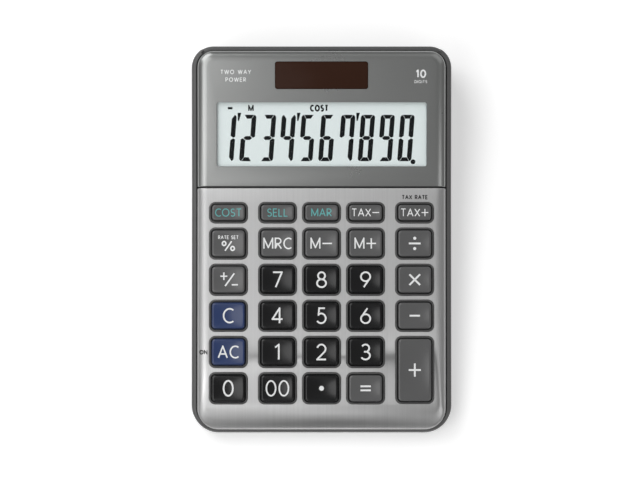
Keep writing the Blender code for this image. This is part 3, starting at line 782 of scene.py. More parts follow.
FINISHES = (
    Finish("case_plastic", (0.092, 0.092, 0.092), (0.36, 0.46), grain=0.12 * MM, relief=0.003 * MM),
    Finish("panel_paint", (0.315, 0.321, 0.316), (0.272, 0.284), metallic=0.90, tone=0.10,
           grain=0.05 * MM, relief=0.0008 * MM, coat=0.35, coat_roughness=0.18),
    Finish("brushed_aluminium", (0.55, 0.55, 0.55), (0.34, 0.38), metallic=1.0, tone=0.16,
           grain=0.07 * MM, relief=0.0012 * MM, streaked=True, anisotropy=0.8),
    Finish("key_grey", (0.108, 0.108, 0.109), (0.17, 0.22), grain=0.09 * MM, relief=0.002 * MM),
    Finish("key_black", (0.0045, 0.0045, 0.005), (0.17, 0.22), grain=0.09 * MM, relief=0.002 * MM),
    Finish("key_blue", (0.024, 0.044, 0.130), (0.17, 0.22), grain=0.09 * MM, relief=0.002 * MM),
    Finish("white_ink", (0.86, 0.87, 0.87), (0.45, 0.55), tone=0.03, relief=0.0005 * MM),
    Finish("teal_ink", (0.115, 0.43, 0.42), (0.45, 0.55), tone=0.03, relief=0.0005 * MM),
    Finish("black_ink", (0.012, 0.012, 0.012), (0.45, 0.55), tone=0.03, relief=0.0005 * MM),
    Finish("screen", (0.90, 0.99, 0.985), (0.40, 0.46), tone=0.012, grain=0.4 * MM,
           relief=0.0002 * MM, specular=0.15),
    Finish("screen_segment", (0.002, 0.003, 0.004), (0.35, 0.42), tone=0.03, relief=0.0002 * MM,
           specular=0.02),
    Finish("clear_lens", (0.20, 0.21, 0.21), (0.04, 0.07), tone=0.02, relief=0.0001 * MM,
           alpha=0.03),
    Finish("smoked_lens", (0.038, 0.0165, 0.0105), (0.18, 0.24), tone=0.05, grain=1.5 * MM,
           relief=0.0002 * MM, specular=0.05),
    Finish("solar_film", (0.05, 0.02, 0.016), (0.2, 0.3), tone=0.3, grain=2.0 * MM),
    Finish("foot_rubber", (0.018, 0.018, 0.018), (0.75, 0.9), tone=0.12, relief=0.01 * MM),
    Finish("mat_rubber", (0.33, 0.33, 0.34), (0.6, 0.75), tone=0.05, relief=0.006 * MM),
    Finish("solder_resist", (0.012, 0.13, 0.05), (0.3, 0.4), tone=0.10, relief=0.003 * MM,
           coat=0.3),
    Finish("black_resin", (0.012, 0.012, 0.013), (0.3, 0.5), relief=0.006 * MM),
    Finish("amber_film", (0.42, 0.20, 0.04), (0.25, 0.35), relief=0.001 * MM, coat=0.4),
    Finish("plated_steel", (0.62, 0.62, 0.61), (0.2, 0.34), metallic=1.0, relief=0.001 * MM),
    Finish("silvered_film", (0.78, 0.78, 0.78), (0.2, 0.3), metallic=0.8, relief=0.0005 * MM),
    Finish("red_sleeve", (0.45, 0.02, 0.015), (0.4, 0.5), relief=0.002 * MM),
    Finish("black_sleeve", (0.015, 0.015, 0.015), (0.4, 0.5), relief=0.002 * MM),
)


class Paintbox:
    """The finished materials, by name."""

    def __init__(self) -> None:
        """Build every finish."""
        effects = SurfaceEffects()
        self.materials = {finish.name: finish.make(effects) for finish in FINISHES}

    def dress(self, piece: bpy.types.Object, name: str) -> None:
        """Give a piece one finish.

        Args:
            piece: the piece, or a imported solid.
            name: the finish's name.
        """
        piece.data.materials.clear()
        piece.data.materials.append(self.materials[name])


@dataclass
class Assembly:
    """What every sub-assembly needs.

    Attributes:
        slopes: the shape of the face.
        paints: the finishes.
    """

    slopes: Slopes
    paints: Paintbox

    def place(self, piece: bpy.types.Object, paint: str, body: str = CASE, slot: str = "") -> None:
        """Dress a finished piece and make it ride on its body.

        Args:
            piece: the finished piece.
            paint: its finish.
            body: the body that it moves with.
            slot: the record's material slot for the piece; not used.
        """
        self.paints.dress(piece, paint)
        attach(piece, body)
        LOG.info("%s on %s: %d faces", piece.name, body, len(piece.data.polygons))


# ---------------------------------------------------------------------------------------------
# The keypad's layout
# ---------------------------------------------------------------------------------------------


class Ink(Enum):
    """Colours of the legends and the prints."""

    WHITE = "white_ink"
    TEAL = "teal_ink"
    BLACK = "black_ink"


class Shell(Enum):
    """Colours of the key caps, by finish and by the record's slot."""

    GREY = "key_grey"
    BLACK = "key_black"
    BLUE = "key_blue"

    @property
    def slot(self) -> str:
        """The record's slot for this colour."""
        return "key_dark" if self is Shell.BLACK else self.value


@dataclass(frozen=True)
class Line:
    """One line of a legend.

    Attributes:
        text: its characters.
        height: height of a capital, outside its strokes.
        stroke: width of the strokes.
        middle: where its middle is, from the key's middle.
        spacing: gap between two characters, as a share of the height.
        width: how much the characters are widened.
    """

    text: str
    height: float
    stroke: float
    middle: Point = (0.0, 0.0)
    spacing: float = 0.16
    width: float = 1.0


@dataclass(frozen=True)
class KeyStyle:
    """Colour and legend of one key."""

    shell: Shell
    lines: tuple[Line, ...]
    ink: Ink = Ink.WHITE


def digit(text: str) -> KeyStyle:
    """Style of a number key."""
    return KeyStyle(Shell.BLACK, (Line(text, 6.5 * MM, 0.66 * MM),))


def word(text: str, ink: Ink = Ink.WHITE) -> KeyStyle:
    """Style of a key in the low top row."""
    return KeyStyle(Shell.GREY, (Line(text, 3.2 * MM, 0.36 * MM, spacing=0.12),), ink)


def sign(text: str, height: float) -> KeyStyle:
    """Style of a key that holds one arithmetic sign."""
    return KeyStyle(Shell.GREY, (Line(text, height, 0.72 * MM),))


def memory(text: str) -> KeyStyle:
    """Style of a memory key."""
    return KeyStyle(Shell.GREY, (Line(text, 4.6 * MM, 0.54 * MM, spacing=0.11),))


KEY_STYLES: dict[str, KeyStyle] = {
    "cost": word("COST", Ink.TEAL),
    "sell": word("SELL", Ink.TEAL),
    "margin": word("MAR", Ink.TEAL),
    "tax_minus": word("TAX-"),
    "tax_plus": word("TAX+"),
    "percent": KeyStyle(
        Shell.GREY,
        (
            Line("RATE SET", 1.45 * MM, 0.24 * MM, (0.0, 2.4 * MM), 0.1, 0.95),
            Line("%", 4.3 * MM, 0.58 * MM, (0.0, -1.0 * MM), width=1.24),
        ),
    ),
    "memory_recall": memory("MRC"),
    "memory_minus": memory("M-"),
    "memory_plus": memory("M+"),
    "divide": sign(":", 5.3 * MM),
    "sign": KeyStyle(
        Shell.GREY,
        (
            Line("+", 3.5 * MM, 0.55 * MM, (-1.75 * MM, 1.35 * MM)),
            Line("/", 5.6 * MM, 0.60 * MM, (0.55 * MM, 0.0)),
            Line("-", 3.2 * MM, 0.55 * MM, (2.55 * MM, -2.0 * MM)),
        ),
    ),
    "times": sign("x", 4.9 * MM),
    "minus": sign("-", 5.2 * MM),
    "plus": sign("+", 5.9 * MM),
    "equals": sign("=", 5.1 * MM),
    "point": KeyStyle(Shell.BLACK, (Line(".", 1.9 * MM, 0.95 * MM),)),
    "clear": KeyStyle(Shell.BLUE, (Line("C", 6.0 * MM, 0.62 * MM),)),
    "all_clear": KeyStyle(Shell.BLUE, (Line("AC", 5.1 * MM, 0.58 * MM, spacing=0.12),)),
    "double_zero": KeyStyle(Shell.BLACK, (Line("00", 6.4 * MM, 0.60 * MM, spacing=0.13),)),
    **{str(number): digit(str(number)) for number in range(10)},
}


# ---------------------------------------------------------------------------------------------
# Lettering
# ---------------------------------------------------------------------------------------------


def arc(centre: Point, radii: Point, start: float, end: float, steps: int = 20) -> Stroke:
    """Points along part of an ellipse.

    Args:
        centre: its middle.
        radii: its half-axes.
        start: first angle, in degrees.
        end: last angle, in degrees.
        steps: number of chords.

    Returns:
        The points in order.
    """
    angles = [math.radians(start + (end - start) * step / steps) for step in range(steps + 1)]
    (x, y), (wide, tall) = centre, radii
    return [(x + wide * math.cos(angle), y + tall * math.sin(angle)) for angle in angles]


def ring(centre: Point, radii: Point) -> Stroke:
    """Points round a whole ellipse."""
    return arc(centre, radii, 90.0, 450.0, 32)


@dataclass(frozen=True)
class Glyph:
    """One character drawn with strokes, one unit high."""

    width: float
    strokes: tuple[Stroke, ...]


STEM = ((0.0, 0.0), (0.0, 1.0))
GLYPHS: dict[str, Glyph] = {
    "0": Glyph(0.62, (ring((0.31, 0.5), (0.31, 0.5)),)),
    "1": Glyph(0.30, ([(0.0, 0.80), (0.24, 1.0), (0.24, 0.0)],)),
    "2": Glyph(0.60, ([*arc((0.29, 0.705), (0.28, 0.295), 165, -38), (0.0, 0.0), (0.60, 0.0)],)),
    "3": Glyph(
        0.60,
        (
            arc((0.29, 0.755), (0.25, 0.245), 150, -95),
            [(0.19, 0.515), (0.29, 0.515)],
            arc((0.29, 0.262), (0.30, 0.262), 95, -152),
        ),
    ),
    "4": Glyph(0.68, ([(0.48, 0.0), (0.48, 1.0), (0.0, 0.27), (0.68, 0.27)],)),
    "5": Glyph(
        0.58,
        ([(0.52, 1.0), (0.13, 1.0), (0.09, 0.56), *arc((0.26, 0.325), (0.31, 0.325), 112, -148)],),
    ),
    "6": Glyph(0.62, ([(0.43, 1.0), (0.055, 0.455)], ring((0.31, 0.30), (0.31, 0.30)))),
    "7": Glyph(0.60, ([(0.0, 1.0), (0.60, 1.0), (0.18, 0.0)],)),
    "8": Glyph(0.60, (ring((0.30, 0.765), (0.235, 0.235)), ring((0.30, 0.265), (0.30, 0.265)))),
    "9": Glyph(0.62, ([(0.565, 0.545), (0.19, 0.0)], ring((0.31, 0.70), (0.31, 0.30)))),
    "A": Glyph(0.76, ([(0.0, 0.0), (0.38, 1.0), (0.76, 0.0)], [(0.14, 0.33), (0.62, 0.33)])),
    "C": Glyph(0.68, (arc((0.44, 0.5), (0.44, 0.5), 52, 308, 28),)),
    "D": Glyph(
        0.70,
        ([*STEM, (0.22, 1.0), *arc((0.22, 0.5), (0.48, 0.5), 90, -90), (0.0, 0.0)],),
    ),
    "E": Glyph(
        0.50, ([(0.48, 1.0), (0.0, 1.0), (0.0, 0.0), (0.50, 0.0)], [(0.0, 0.52), (0.44, 0.52)])
    ),
    "G": Glyph(0.88, ([*arc((0.47, 0.5), (0.47, 0.5), 46, 352, 28), (0.60, 0.43)],)),
    "I": Glyph(0.02, ([(0.01, 0.0), (0.01, 1.0)],)),
    "L": Glyph(0.46, ([(0.0, 1.0), (0.0, 0.0), (0.46, 0.0)],)),
    "M": Glyph(0.84, ([(0.0, 0.0), (0.0, 1.0), (0.42, 0.10), (0.84, 1.0), (0.84, 0.0)],)),
    "N": Glyph(0.68, ([(0.0, 0.0), (0.0, 1.0), (0.68, 0.0), (0.68, 1.0)],)),
    "O": Glyph(0.90, (ring((0.45, 0.5), (0.45, 0.5)),)),
    "P": Glyph(
        0.54,
        ([*STEM, (0.27, 1.0), *arc((0.27, 0.74), (0.27, 0.26), 90, -90), (0.0, 0.48)],),
    ),
    "R": Glyph(
        0.58,
        (
            [*STEM, (0.26, 1.0), *arc((0.26, 0.74), (0.27, 0.26), 90, -90), (0.0, 0.48)],
            [(0.25, 0.48), (0.58, 0.0)],
        ),
    ),
    "S": Glyph(
        0.54,
        (
            [
                *arc((0.28, 0.755), (0.24, 0.245), 38, 262),
                *arc((0.26, 0.26), (0.27, 0.26), 82, -145),
            ],
        ),
    ),
    "T": Glyph(0.62, ([(0.0, 1.0), (0.62, 1.0)], [(0.31, 1.0), (0.31, 0.0)])),
    "W": Glyph(1.10, ([(0.0, 1.0), (0.28, 0.0), (0.55, 1.0), (0.82, 0.0), (1.10, 1.0)],)),
    "X": Glyph(0.66, ([(0.0, 0.0), (0.66, 1.0)], [(0.0, 1.0), (0.66, 0.0)])),
    "Y": Glyph(0.66, ([(0.0, 1.0), (0.33, 0.47), (0.66, 1.0)], [(0.33, 0.47), (0.33, 0.0)])),
    "+": Glyph(0.92, ([(0.0, 0.5), (0.92, 0.5)], [(0.46, 0.0), (0.46, 1.0)])),
    "-": Glyph(0.92, ([(0.0, 0.5), (0.92, 0.5)],)),
    "=": Glyph(0.92, ([(0.0, 0.32), (0.92, 0.32)], [(0.0, 0.68), (0.92, 0.68)])),
    "x": Glyph(1.0, ([(0.0, 0.0), (1.0, 1.0)], [(0.0, 1.0), (1.0, 0.0)])),
    ":": Glyph(
        1.0,
        (
            [(0.0, 0.5), (1.0, 0.5)],
            ring((0.5, 0.94), (0.055, 0.055)),
            ring((0.5, 0.06), (0.055, 0.055)),
        ),
    ),
    "/": Glyph(0.72, ([(0.0, 0.0), (0.72, 1.0)],)),
    "%": Glyph(
        1.0,
        (
            [(0.22, 0.0), (0.78, 1.0)],
            ring((0.14, 0.76), (0.15, 0.21)),
            ring((0.86, 0.24), (0.15, 0.21)),
        ),
    ),
    ".": Glyph(1.0, (ring((0.5, 0.5), (0.5, 0.5)),)),
    " ": Glyph(0.30, ()),
}


@dataclass
class Lettering:
    """Draws words as thin closed films of ink, from strokes with mitred corners.

    Attributes:
        film: thickness of the ink.
        cell: spacing of the cuts that let the ink follow a dished surface.
        sharp: least value of 1 + cosine of a turn that still gets a full mitre.
    """

    film: float = 0.03 * MM
    cell: float = 0.8 * MM
    sharp: float = 0.7

    def draw(self, name: str, lines: Sequence[Line], bends: bool = False) -> bpy.types.Object:
        """Draw lines of text about the origin, lying round z = 0.

        Args:
            name: the new piece's name.
            lines: the lines of text.
            bends: cut the ink into cells, so that it can be bent.

        Returns:
            One mesh of thin closed films.
        """
        films = []
        for line in lines:
            for loops in self._line(line):
                films.append(film(f"{name}_{len(films)}", loops, self.film))
        drawn = joined(name, films)
        if bends:
            with editing(drawn):
                for axis in (0, 1):
                    self._cut(drawn, axis)
        return drawn

    def _cut(self, drawn: bpy.types.Object, axis: int) -> None:
        """Cut a piece in edit mode at even steps along an axis."""
        places = [vertex.co[axis] for vertex in bmesh.from_edit_mesh(drawn.data).verts]
        first, last = (math.ceil(min(places) / self.cell), math.floor(max(places) / self.cell))
        for step in range(first, last + 1):
            spot, normal = [0.0, 0.0, 0.0], [0.0, 0.0, 0.0]
            spot[axis], normal[axis] = step * self.cell, 1.0
            bpy.ops.mesh.select_all(action="SELECT")
            bpy.ops.mesh.bisect(plane_co=spot, plane_no=normal)

    def _line(self, line: Line) -> list[list[Stroke]]:
        """Outline every stroke of a line.

        Args:
            line: the line of text.

        Returns:
            For each stroke, its outer loop and, where it encloses something, its inner loop.
        """
        tall = line.height - line.stroke
        gap = line.spacing * line.height + line.stroke
        glyphs = [GLYPHS[character] for character in line.text]
        total = sum(glyph.width * tall * line.width for glyph in glyphs) + gap * (len(glyphs) - 1)
        left = line.middle[0] - total / 2
        low = line.middle[1] - tall / 2
        found = []
        for glyph in glyphs:
            for stroke in glyph.strokes:
                points = [(left + x * tall * line.width, low + y * tall) for x, y in stroke]
                found.append(self._outline(points, line.stroke / 2))
            left += glyph.width * tall * line.width + gap
        return found

    def _outline(self, points: Stroke, half: float) -> list[Stroke]:
        """Outline one stroke.

        Args:
            points: the points along its middle.
            half: half of its width.

        Returns:
            Its outer loop and, for a ring, its inner loop.
        """
        closed = len(points) > 3 and math.dist(points[0], points[-1]) < 1e-9
        if not closed:
            left, right = (self._side(points, half, side, False) for side in (1.0, -1.0))
            return [left + right[::-1]]
        round_points = points[:-1]
        reach = math.dist(round_points[0], round_points[len(round_points) // 2]) / 2
        outer = self._side(round_points, half, -1.0, True)
        if reach < 1.15 * half:
            return [outer]
        return [outer, self._side(round_points, half, 1.0, True)]

    def _side(self, points: Stroke, half: float, side: float, closed: bool) -> Stroke:
        """Offset a stroke to one side.

        Args:
            points: the points along its middle.
            half: the distance.
            side: 1 for its left side and -1 for its right side.
            closed: the stroke is a ring.

        Returns:
            The offset points in the stroke's order.
        """
        count = len(points)
        found: Stroke = []
        for index, point in enumerate(points):
            here = Vector(point)
            before = here - Vector(points[index - 1]) if closed or index else None
            last = not closed and index == count - 1
            after = None if last else Vector(points[(index + 1) % count]) - here
            first = (before or after).normalized()
            second = (after or before).normalized()
            out_first = Vector((-first.y, first.x)) * side
            out_second = Vector((-second.y, second.x)) * side
            spread = 1.0 + out_first.dot(out_second)
            outside = first.cross(second) * side < 0
            if outside and spread < self.sharp:
                middle = (out_first + out_second).normalized()
                lean = out_first.angle(middle)
                reach = half * math.tan(lean / 2)
                found.append(tuple(here + out_first * half + first * reach))
                found.append(tuple(here + out_second * half - second * reach))
            else:
                found.append(tuple(here + (out_first + out_second) * half / max(spread, 0.08)))
        return found


def film(name: str, loops: Sequence[Stroke], thickness: float) -> bpy.types.Object:
    """Fill flat loops as a thin closed slab round z = 0.

    Args:
        name: the new piece's name.
        loops: an outline, and the outlines of its holes.
        thickness: the slab's thickness.

    Returns:
        The slab.
    """
    curve = bpy.data.curves.new(name, "CURVE")
    curve.dimensions = "2D"
    curve.fill_mode = "BOTH"
    curve.extrude = thickness / 2
    for loop in loops:
        spline = curve.splines.new("POLY")
        spline.points.add(len(loop) - 1)
        spline.use_cyclic_u = True
        for point, (x, y) in zip(spline.points, loop):
            point.co = (x, y, 0.0, 1.0)
    drawn = bpy.data.objects.new(name, curve)
    bpy.context.scene.collection.objects.link(drawn)
    choose(drawn)
    bpy.ops.object.convert(target="MESH")
    drawn = bpy.context.object
    with editing(drawn):
        bpy.ops.mesh.select_all(action="SELECT")
        bpy.ops.mesh.remove_doubles(threshold=1e-7)
        bpy.ops.mesh.normals_make_consistent(inside=False)
    return drawn


# ---------------------------------------------------------------------------------------------
# The keys
# ---------------------------------------------------------------------------------------------


@dataclass
class Keypad(Assembly):
    """The 29 key caps, their legends and the collars that they stand in.

    Attributes:
        cap_corner: radius of a cap's upright corners at its foot.
        cap_draft: how much narrower a cap is at the top, on each side.
        cap_round: width of the rounding round the top.
        dish: depth of the hollow in the top.
        lip: how far the foot stands out under the deck.
        lip_height: height of that foot.
        gap: gap between a cap and its collar.
        collar_wall: thickness of a collar.
        collar_top: height of a collar above the metal.
        collar_foot: level of a collar's foot, inside the deck.
        ink_lift: how far a legend's middle is above the cap.
        grid: spacing of the cuts that let a cap's top be dished.
        lettering: draws the legends.
    """

    cap_corner: float = 1.45 * MM
    cap_draft: float = 0.12 * MM
    cap_round: float = 0.62 * MM
    dish: float = 0.42 * MM
    lip: float = 0.8 * MM
    lip_height: float = 0.8 * MM
    gap: float = 0.35 * MM
    collar_wall: float = 0.65 * MM
    collar_top: float = 0.4 * MM
    collar_foot: float = -2.35 * MM
    ink_lift: float = 0.012 * MM
    grid: float = 1.1 * MM
    lettering: Lettering = field(default_factory=Lettering)

    def build(self) -> list[tuple[Point, Point]]:
        """Build every key and collar.

        Returns:
            Each key's middle and cap size on the keypad slope.
        """
        place = self.slopes.keypad()
        spots: list[tuple[Point, Point]] = []
        caps: dict[tuple[int, int], bpy.types.Object] = {}
        for name, style in KEY_STYLES.items():
            middle, size, top, foot = self._spot(f"key_{name}")
            spots.append((middle, size))
            kind = (round(size[0] / MM * 10), round(size[1] / MM * 10))
            if kind not in caps:
                caps[kind] = self._cap(f"cap_model_{kind[1]}", size, top, foot)
            cap = duplicate(caps[kind], f"cap_{name}")
            move = place @ Matrix.Translation((*middle, 0.0))
            cap.data.transform(move)
            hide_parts(f"key_{name}")
            self.place(cap, style.shell.value, f"key_{name}", style.shell.slot)
            legend = self.lettering.draw(f"legend_{name}", style.lines, bends=True)
            for vertex in legend.data.vertices:
                vertex.co.z += self._hollow(vertex.co, size, top) + self.ink_lift
            legend.data.transform(move)
            self.place(legend, style.ink.value, f"key_{name}")
        for model in caps.values():
            bpy.data.objects.remove(model)
        self._collars(spots, place)
        return spots

    def _spot(self, node: str) -> tuple[Point, Point, float, float]:
        """Read a key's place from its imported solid.

        Args:
            node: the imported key.

        Returns:
            Its middle and its cap's size on the keypad slope, its top and its foot.
        """
        low, high = extent((node,), self.slopes.keypad())
        middle = ((low.x + high.x) / 2, (low.y + high.y) / 2)
        size = (high.x - low.x - 2 * self.lip, high.y - low.y - 2 * self.lip)
        return middle, size, high.z, low.z

    def _hollow(self, spot: Vector, size: Point, top: float) -> float:
        """Height of a cap's top surface at a spot measured from its middle.

        Args:
            spot: the place on the cap.
            size: the cap's width and depth.
            top: the cap's highest level.

        Returns:
            The height of the dished top there.
        """
        inner = [size[i] / 2 - self.cap_draft - self.cap_round for i in (0, 1)]
        across = min(abs(spot.x) / inner[0], 1.0)
        along = min(abs(spot.y) / inner[1], 1.0)
        return top - self.dish * (1.0 - across * across) * (1.0 - along * along)

    def _cap(self, name: str, size: Point, top: float, foot: float) -> bpy.types.Object:
        """Model one key cap about the origin.

        Args:
            name: its name.
            size: width and depth at the collar.
            top: its highest level.
            foot: its lowest level.

        Returns:
            The cap: a wide foot, drafted sides, a rounded edge and a dished top.
        """
        wide = (size[0] + 2 * self.lip, size[1] + 2 * self.lip)
        levels = (foot, foot + self.lip_height)
        cap = rounded_block(name, (0.0, 0.0), wide, levels, self.cap_corner + self.lip, 7)
        rise = top - self.cap_round * 0.8 - levels[1]
        with editing(cap):
            pick_end(cap, top=True)
            step_in(self.lip, 0.0)
            extrude_up(rise)
            shrink = [1.0 - 2 * self.cap_draft / side for side in size]
            bpy.ops.transform.resize(value=(shrink[0], shrink[1], 1.0))
            roll_edge(self.cap_round, self.cap_round * 0.8, 5)
            self._grid_top(cap, size, top)
        for vertex in cap.data.vertices:
            if vertex.co.z > top - 1e-6:
                vertex.co.z = self._hollow(vertex.co, size, top)
        shade(cap, 50.0)
        return cap

    def _grid_top(self, cap: bpy.types.Object, size: Point, top: float) -> None:
        """Cut a cap's flat top into a grid, so that it can be dished.

        Args:
            cap: the cap, in edit mode.
            size: its width and depth.
            top: level of its top.
        """
        for axis, side in enumerate(size):
            count = max(round(side / self.grid), 4)
            for line in range(1, count):
                pick(cap, Element.FACE, lambda face: all(v.co.z > top - 1e-6 for v in face.verts))
                spot, normal = [0.0, 0.0, 0.0], [0.0, 0.0, 0.0]
                spot[axis] = side * (line / count - 0.5)
                normal[axis] = 1.0
                bpy.ops.mesh.bisect(plane_co=spot, plane_no=normal)

    def _collars(self, spots: Sequence[tuple[Point, Point]], place: Matrix) -> None:
        """Model the collars, one round each key, as one moulding.

        Args:
            spots: each key's middle and cap size.
            place: the keypad slope's place.
        """
        models: dict[int, bpy.types.Object] = {}
        collars = []
        for middle, size in spots:
            kind = round(size[1] / MM * 10)
            if kind not in models:
                models[kind] = self._collar(f"collar_model_{kind}", size)
            collar = duplicate(models[kind], f"collar_{len(collars)}")
            collar.data.transform(place @ Matrix.Translation((*middle, 0.0)))
            collars.append(collar)
        for model in models.values():
            bpy.data.objects.remove(model)
        moulding = joined("key_collars", collars)
        self.place(moulding, "case_plastic", slot="case_grey")

    def _collar(self, name: str, size: Point) -> bpy.types.Object:
        """Model one collar about the origin.

        Args:
            name: its name.
            size: width and depth of the cap in it.

        Returns:
            The collar: a wall with a rounded rim.
        """
        inner = tuple(side + 2 * self.gap for side in size)
        outer = tuple(side + 2 * self.collar_wall for side in inner)
        levels = (self.collar_foot, self.collar_top)
        radius = self.cap_corner + self.gap
        collar = rounded_block(name, (0.0, 0.0), outer, levels, radius + self.collar_wall, 8)
        bore = rounded_block("bore", (0.0, 0.0), inner, (-8.0 * MM, 4.0 * MM), radius, 8)
        carve(collar, bore)
        soften(collar, 0.17 * MM, 3, 60.0)
        shade(collar, 40.0)
        return collar


def key_cutters(name: str, spots: Sequence[tuple[Point, Point]], margin: float, corner: float,
                place: Matrix, levels: Point) -> bpy.types.Object:
    """Make one cutter with a rounded block at every key.

    Args:
        name: the cutter's name.
        spots: each key's middle and cap size.
        margin: how much wider than the cap a block is, on each side.
        corner: radius of a cap's corners.
        place: the keypad slope's place.
        levels: lowest and highest level of the blocks.

    Returns:
        The cutter, in its place on the slope.
    """
    blocks = []
    for index, (middle, size) in enumerate(spots):
        wide = (size[0] + 2 * margin, size[1] + 2 * margin)
        blocks.append(rounded_block(f"{name}_{index}", middle, wide, levels, corner + margin, 8))
    cutter = joined(name, blocks)
    cutter.data.transform(place)
    return cutter


# ---------------------------------------------------------------------------------------------
# The case and its panels
# ---------------------------------------------------------------------------------------------


@dataclass
class Housing(Assembly):
    """The two shells, the metal faceplate and the display panel.

    Attributes:
        front_corner: radius of the case's front corners in plan.
        back_corner: radius of its back corners.
        panel_inset: how far the panels lie inside the case at the sides and the back.
        panel_front: the same at the front.
        roll_width: width of the panels' rolled edge.
        roll_drop: drop of that edge.
        plate_thickness: thickness of the metal.
        panel_thickness: thickness of the display panel.
        rim_drop: level below the face at which the case's wall turns into the rim.
        rim_round: radius of the rim.
        groove: width of the groove between the rim and the panels.
        groove_drop: level of the groove's floor.
        deck_inset: how far inside the case the deck begins.
        deck_drop: level of the deck under the metal.
        display_drop: how much lower the deck is under the display.
        deck_thickness: thickness of the deck.
        split: level of the joint between the two shells below the slopes.
        wall: thickness of the shells.
        floor_thickness: thickness of the lower shell's floor.
        seam_gap: width of the gap between the two panels.
        seam_round: rounding of the panels' edges at the seam.
        cap_corner: radius of a key cap's corners.
        plate_room: room round a key cap in the metal, for its collar.
        deck_room: room round a key cap in the deck.
        window_room: room round a window in the display panel.
        screen_room: room round the screen and the solar cell in the deck.
        ease: width of the groove's eased edge, and slack in telling vertices apart.
        cove: level, below the face, at which the walls turn into the deck inside.
        cove_width: how far the deck is thickened inside its edge.
        step_down: where the deck steps down to its display part, before the seam.
    """

    front_corner: float = 10.5 * MM
    back_corner: float = 8.5 * MM
    panel_inset: float = 2.25 * MM
    panel_front: float = 0.9 * MM
    roll_width: float = 4.0 * MM
    roll_drop: float = 2.2 * MM
    plate_thickness: float = 0.6 * MM
    panel_thickness: float = 1.6 * MM
    rim_drop: float = 3.85 * MM
    rim_round: float = 1.25 * MM
    groove: float = 0.38 * MM
    groove_drop: float = 4.2 * MM
    deck_inset: float = 4.4 * MM
    deck_drop: float = 0.95 * MM
    display_drop: float = 1.0 * MM
    deck_thickness: float = 1.4 * MM
    split: float = 6.5 * MM
    wall: float = 2.0 * MM
    floor_thickness: float = 1.8 * MM
    seam_gap: float = 0.5 * MM
    seam_round: float = 0.4 * MM
    cap_corner: float = 1.45 * MM
    plate_room: float = 1.13 * MM
    deck_room: float = 0.35 * MM
    window_room: float = 0.12 * MM
    screen_room: float = 0.25 * MM
    ease: float = 0.06 * MM
    cove: float = 5.4 * MM
    cove_width: float = 1.3 * MM
    step_down: Point = (2.4 * MM, 0.9 * MM)

    def build(self, spots: Sequence[tuple[Point, Point]]) -> None:
        """Build the shells and the panels.

        Args:
            spots: each key's middle and cap size on the keypad slope.
        """
        self._faceplate(spots)
        self._display_panel()
        self._upper_shell(spots)
        self._rear_shell()

    def _stations(self) -> list[float]:
        """Planes where a piece has to bend: closely spaced along the fall, and one at the seam."""
        count = 18
        start = self.slopes.front_y + self.slopes.fall_start
        fall = [start - self.slopes.fall_start * (step / count) ** 0.8 for step in range(count)]
        return [*fall, self.slopes.seam_y]

    def _outline(self, name: str, inset: float, front: float, levels: Point) -> bpy.types.Object:
        """Start a piece with the case's rounded outline.

        Args:
            name: the piece's name.
            inset: how far inside the case it lies at the sides and the back.
            front: the same at the front.
            levels: its lowest and highest flat level.

        Returns:
            A block with rounded corners.
        """
        side = self.slopes.half_width - inset
        low = (-side, self.slopes.front_y + front, levels[0])
        high = (side, self.slopes.back_y - inset, levels[1])
        piece = block(name, low, high)
        round_corners(piece, self.front_corner - inset, 18, lambda middle: middle.y < 0)
        round_corners(piece, self.back_corner - inset, 16, lambda middle: middle.y > 0)
        return piece

    def _skin(self, name: str, thickness: float) -> bpy.types.Object:
        """Model a sheet that covers the whole face, with its edge rolled down.

        Args:
            name: its name.
            thickness: its thickness.

        Returns:
            The sheet, laid over the slopes.
        """
        edge = (-self.roll_drop - 0.05 * MM, -self.roll_drop)
        skin = self._outline(name, self.panel_inset, self.panel_front, edge)
        with editing(skin):
            pick_end(skin, top=True)
            roll_edge(self.roll_width, self.roll_drop, 10)
            pick_end(skin, top=False)
            step_in(thickness, 0.0)
            under = self.roll_drop - thickness + 0.05 * MM
            roll_edge(self.roll_width - thickness, under, 6, -1.0)
        cut_across(skin, self._stations())
        self.slopes.lay(skin)
        return skin

    def _faceplate(self, spots: Sequence[tuple[Point, Point]]) -> None:
        """Model the brushed sheet with an opening round each collar.

        Args:
            spots: each key's middle and cap size.
        """
        plate = self._skin("brushed_faceplate", self.plate_thickness)
        keep_side(plate, self.slopes.seam_y - self.seam_gap / 2, front=True)
        seam, reach = self.slopes.seam_y, self.slopes.curl_reach
        cut_across(plate, [seam - step * reach / 6 for step in range(1, 7)])
        for vertex in plate.data.vertices:
            vertex.co.z += self.slopes.curl(vertex.co.y)
        self._ease_seam(plate, -1.0)
        place, levels = self.slopes.keypad(), (-4 * MM, 4 * MM)
        cutter = key_cutters("plate_holes", spots, self.plate_room, self.cap_corner, place, levels)
        carve(plate, cutter)
        shade(plate, 30.0)
        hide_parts("faceplate")
        self.place(plate, "brushed_aluminium", slot="brushed_plate")

    def _ease_seam(self, piece: bpy.types.Object, side: float) -> None:
        """Round the top edge of a panel where it meets the other at the seam.

        Args:
            piece: the panel.
            side: -1 in front of the seam and 1 behind it.
        """
        y = self.slopes.seam_y + side * self.seam_gap / 2
        top = self.slopes.face_height(y) + self.slopes.curl(y)
        reach = self.slopes.half_width - self.panel_inset
        with editing(piece):
            pick(
                piece,
                Element.EDGE,
                lambda edge: all(
                    abs(vertex.co.y - y) < 1e-6
                    and vertex.co.z > top - self._roll_at(reach - abs(vertex.co.x)) - 1e-5
                    for vertex in edge.verts
                ),
            )
            bpy.ops.mesh.bevel(offset=self.seam_round, segments=4, affect="EDGES")

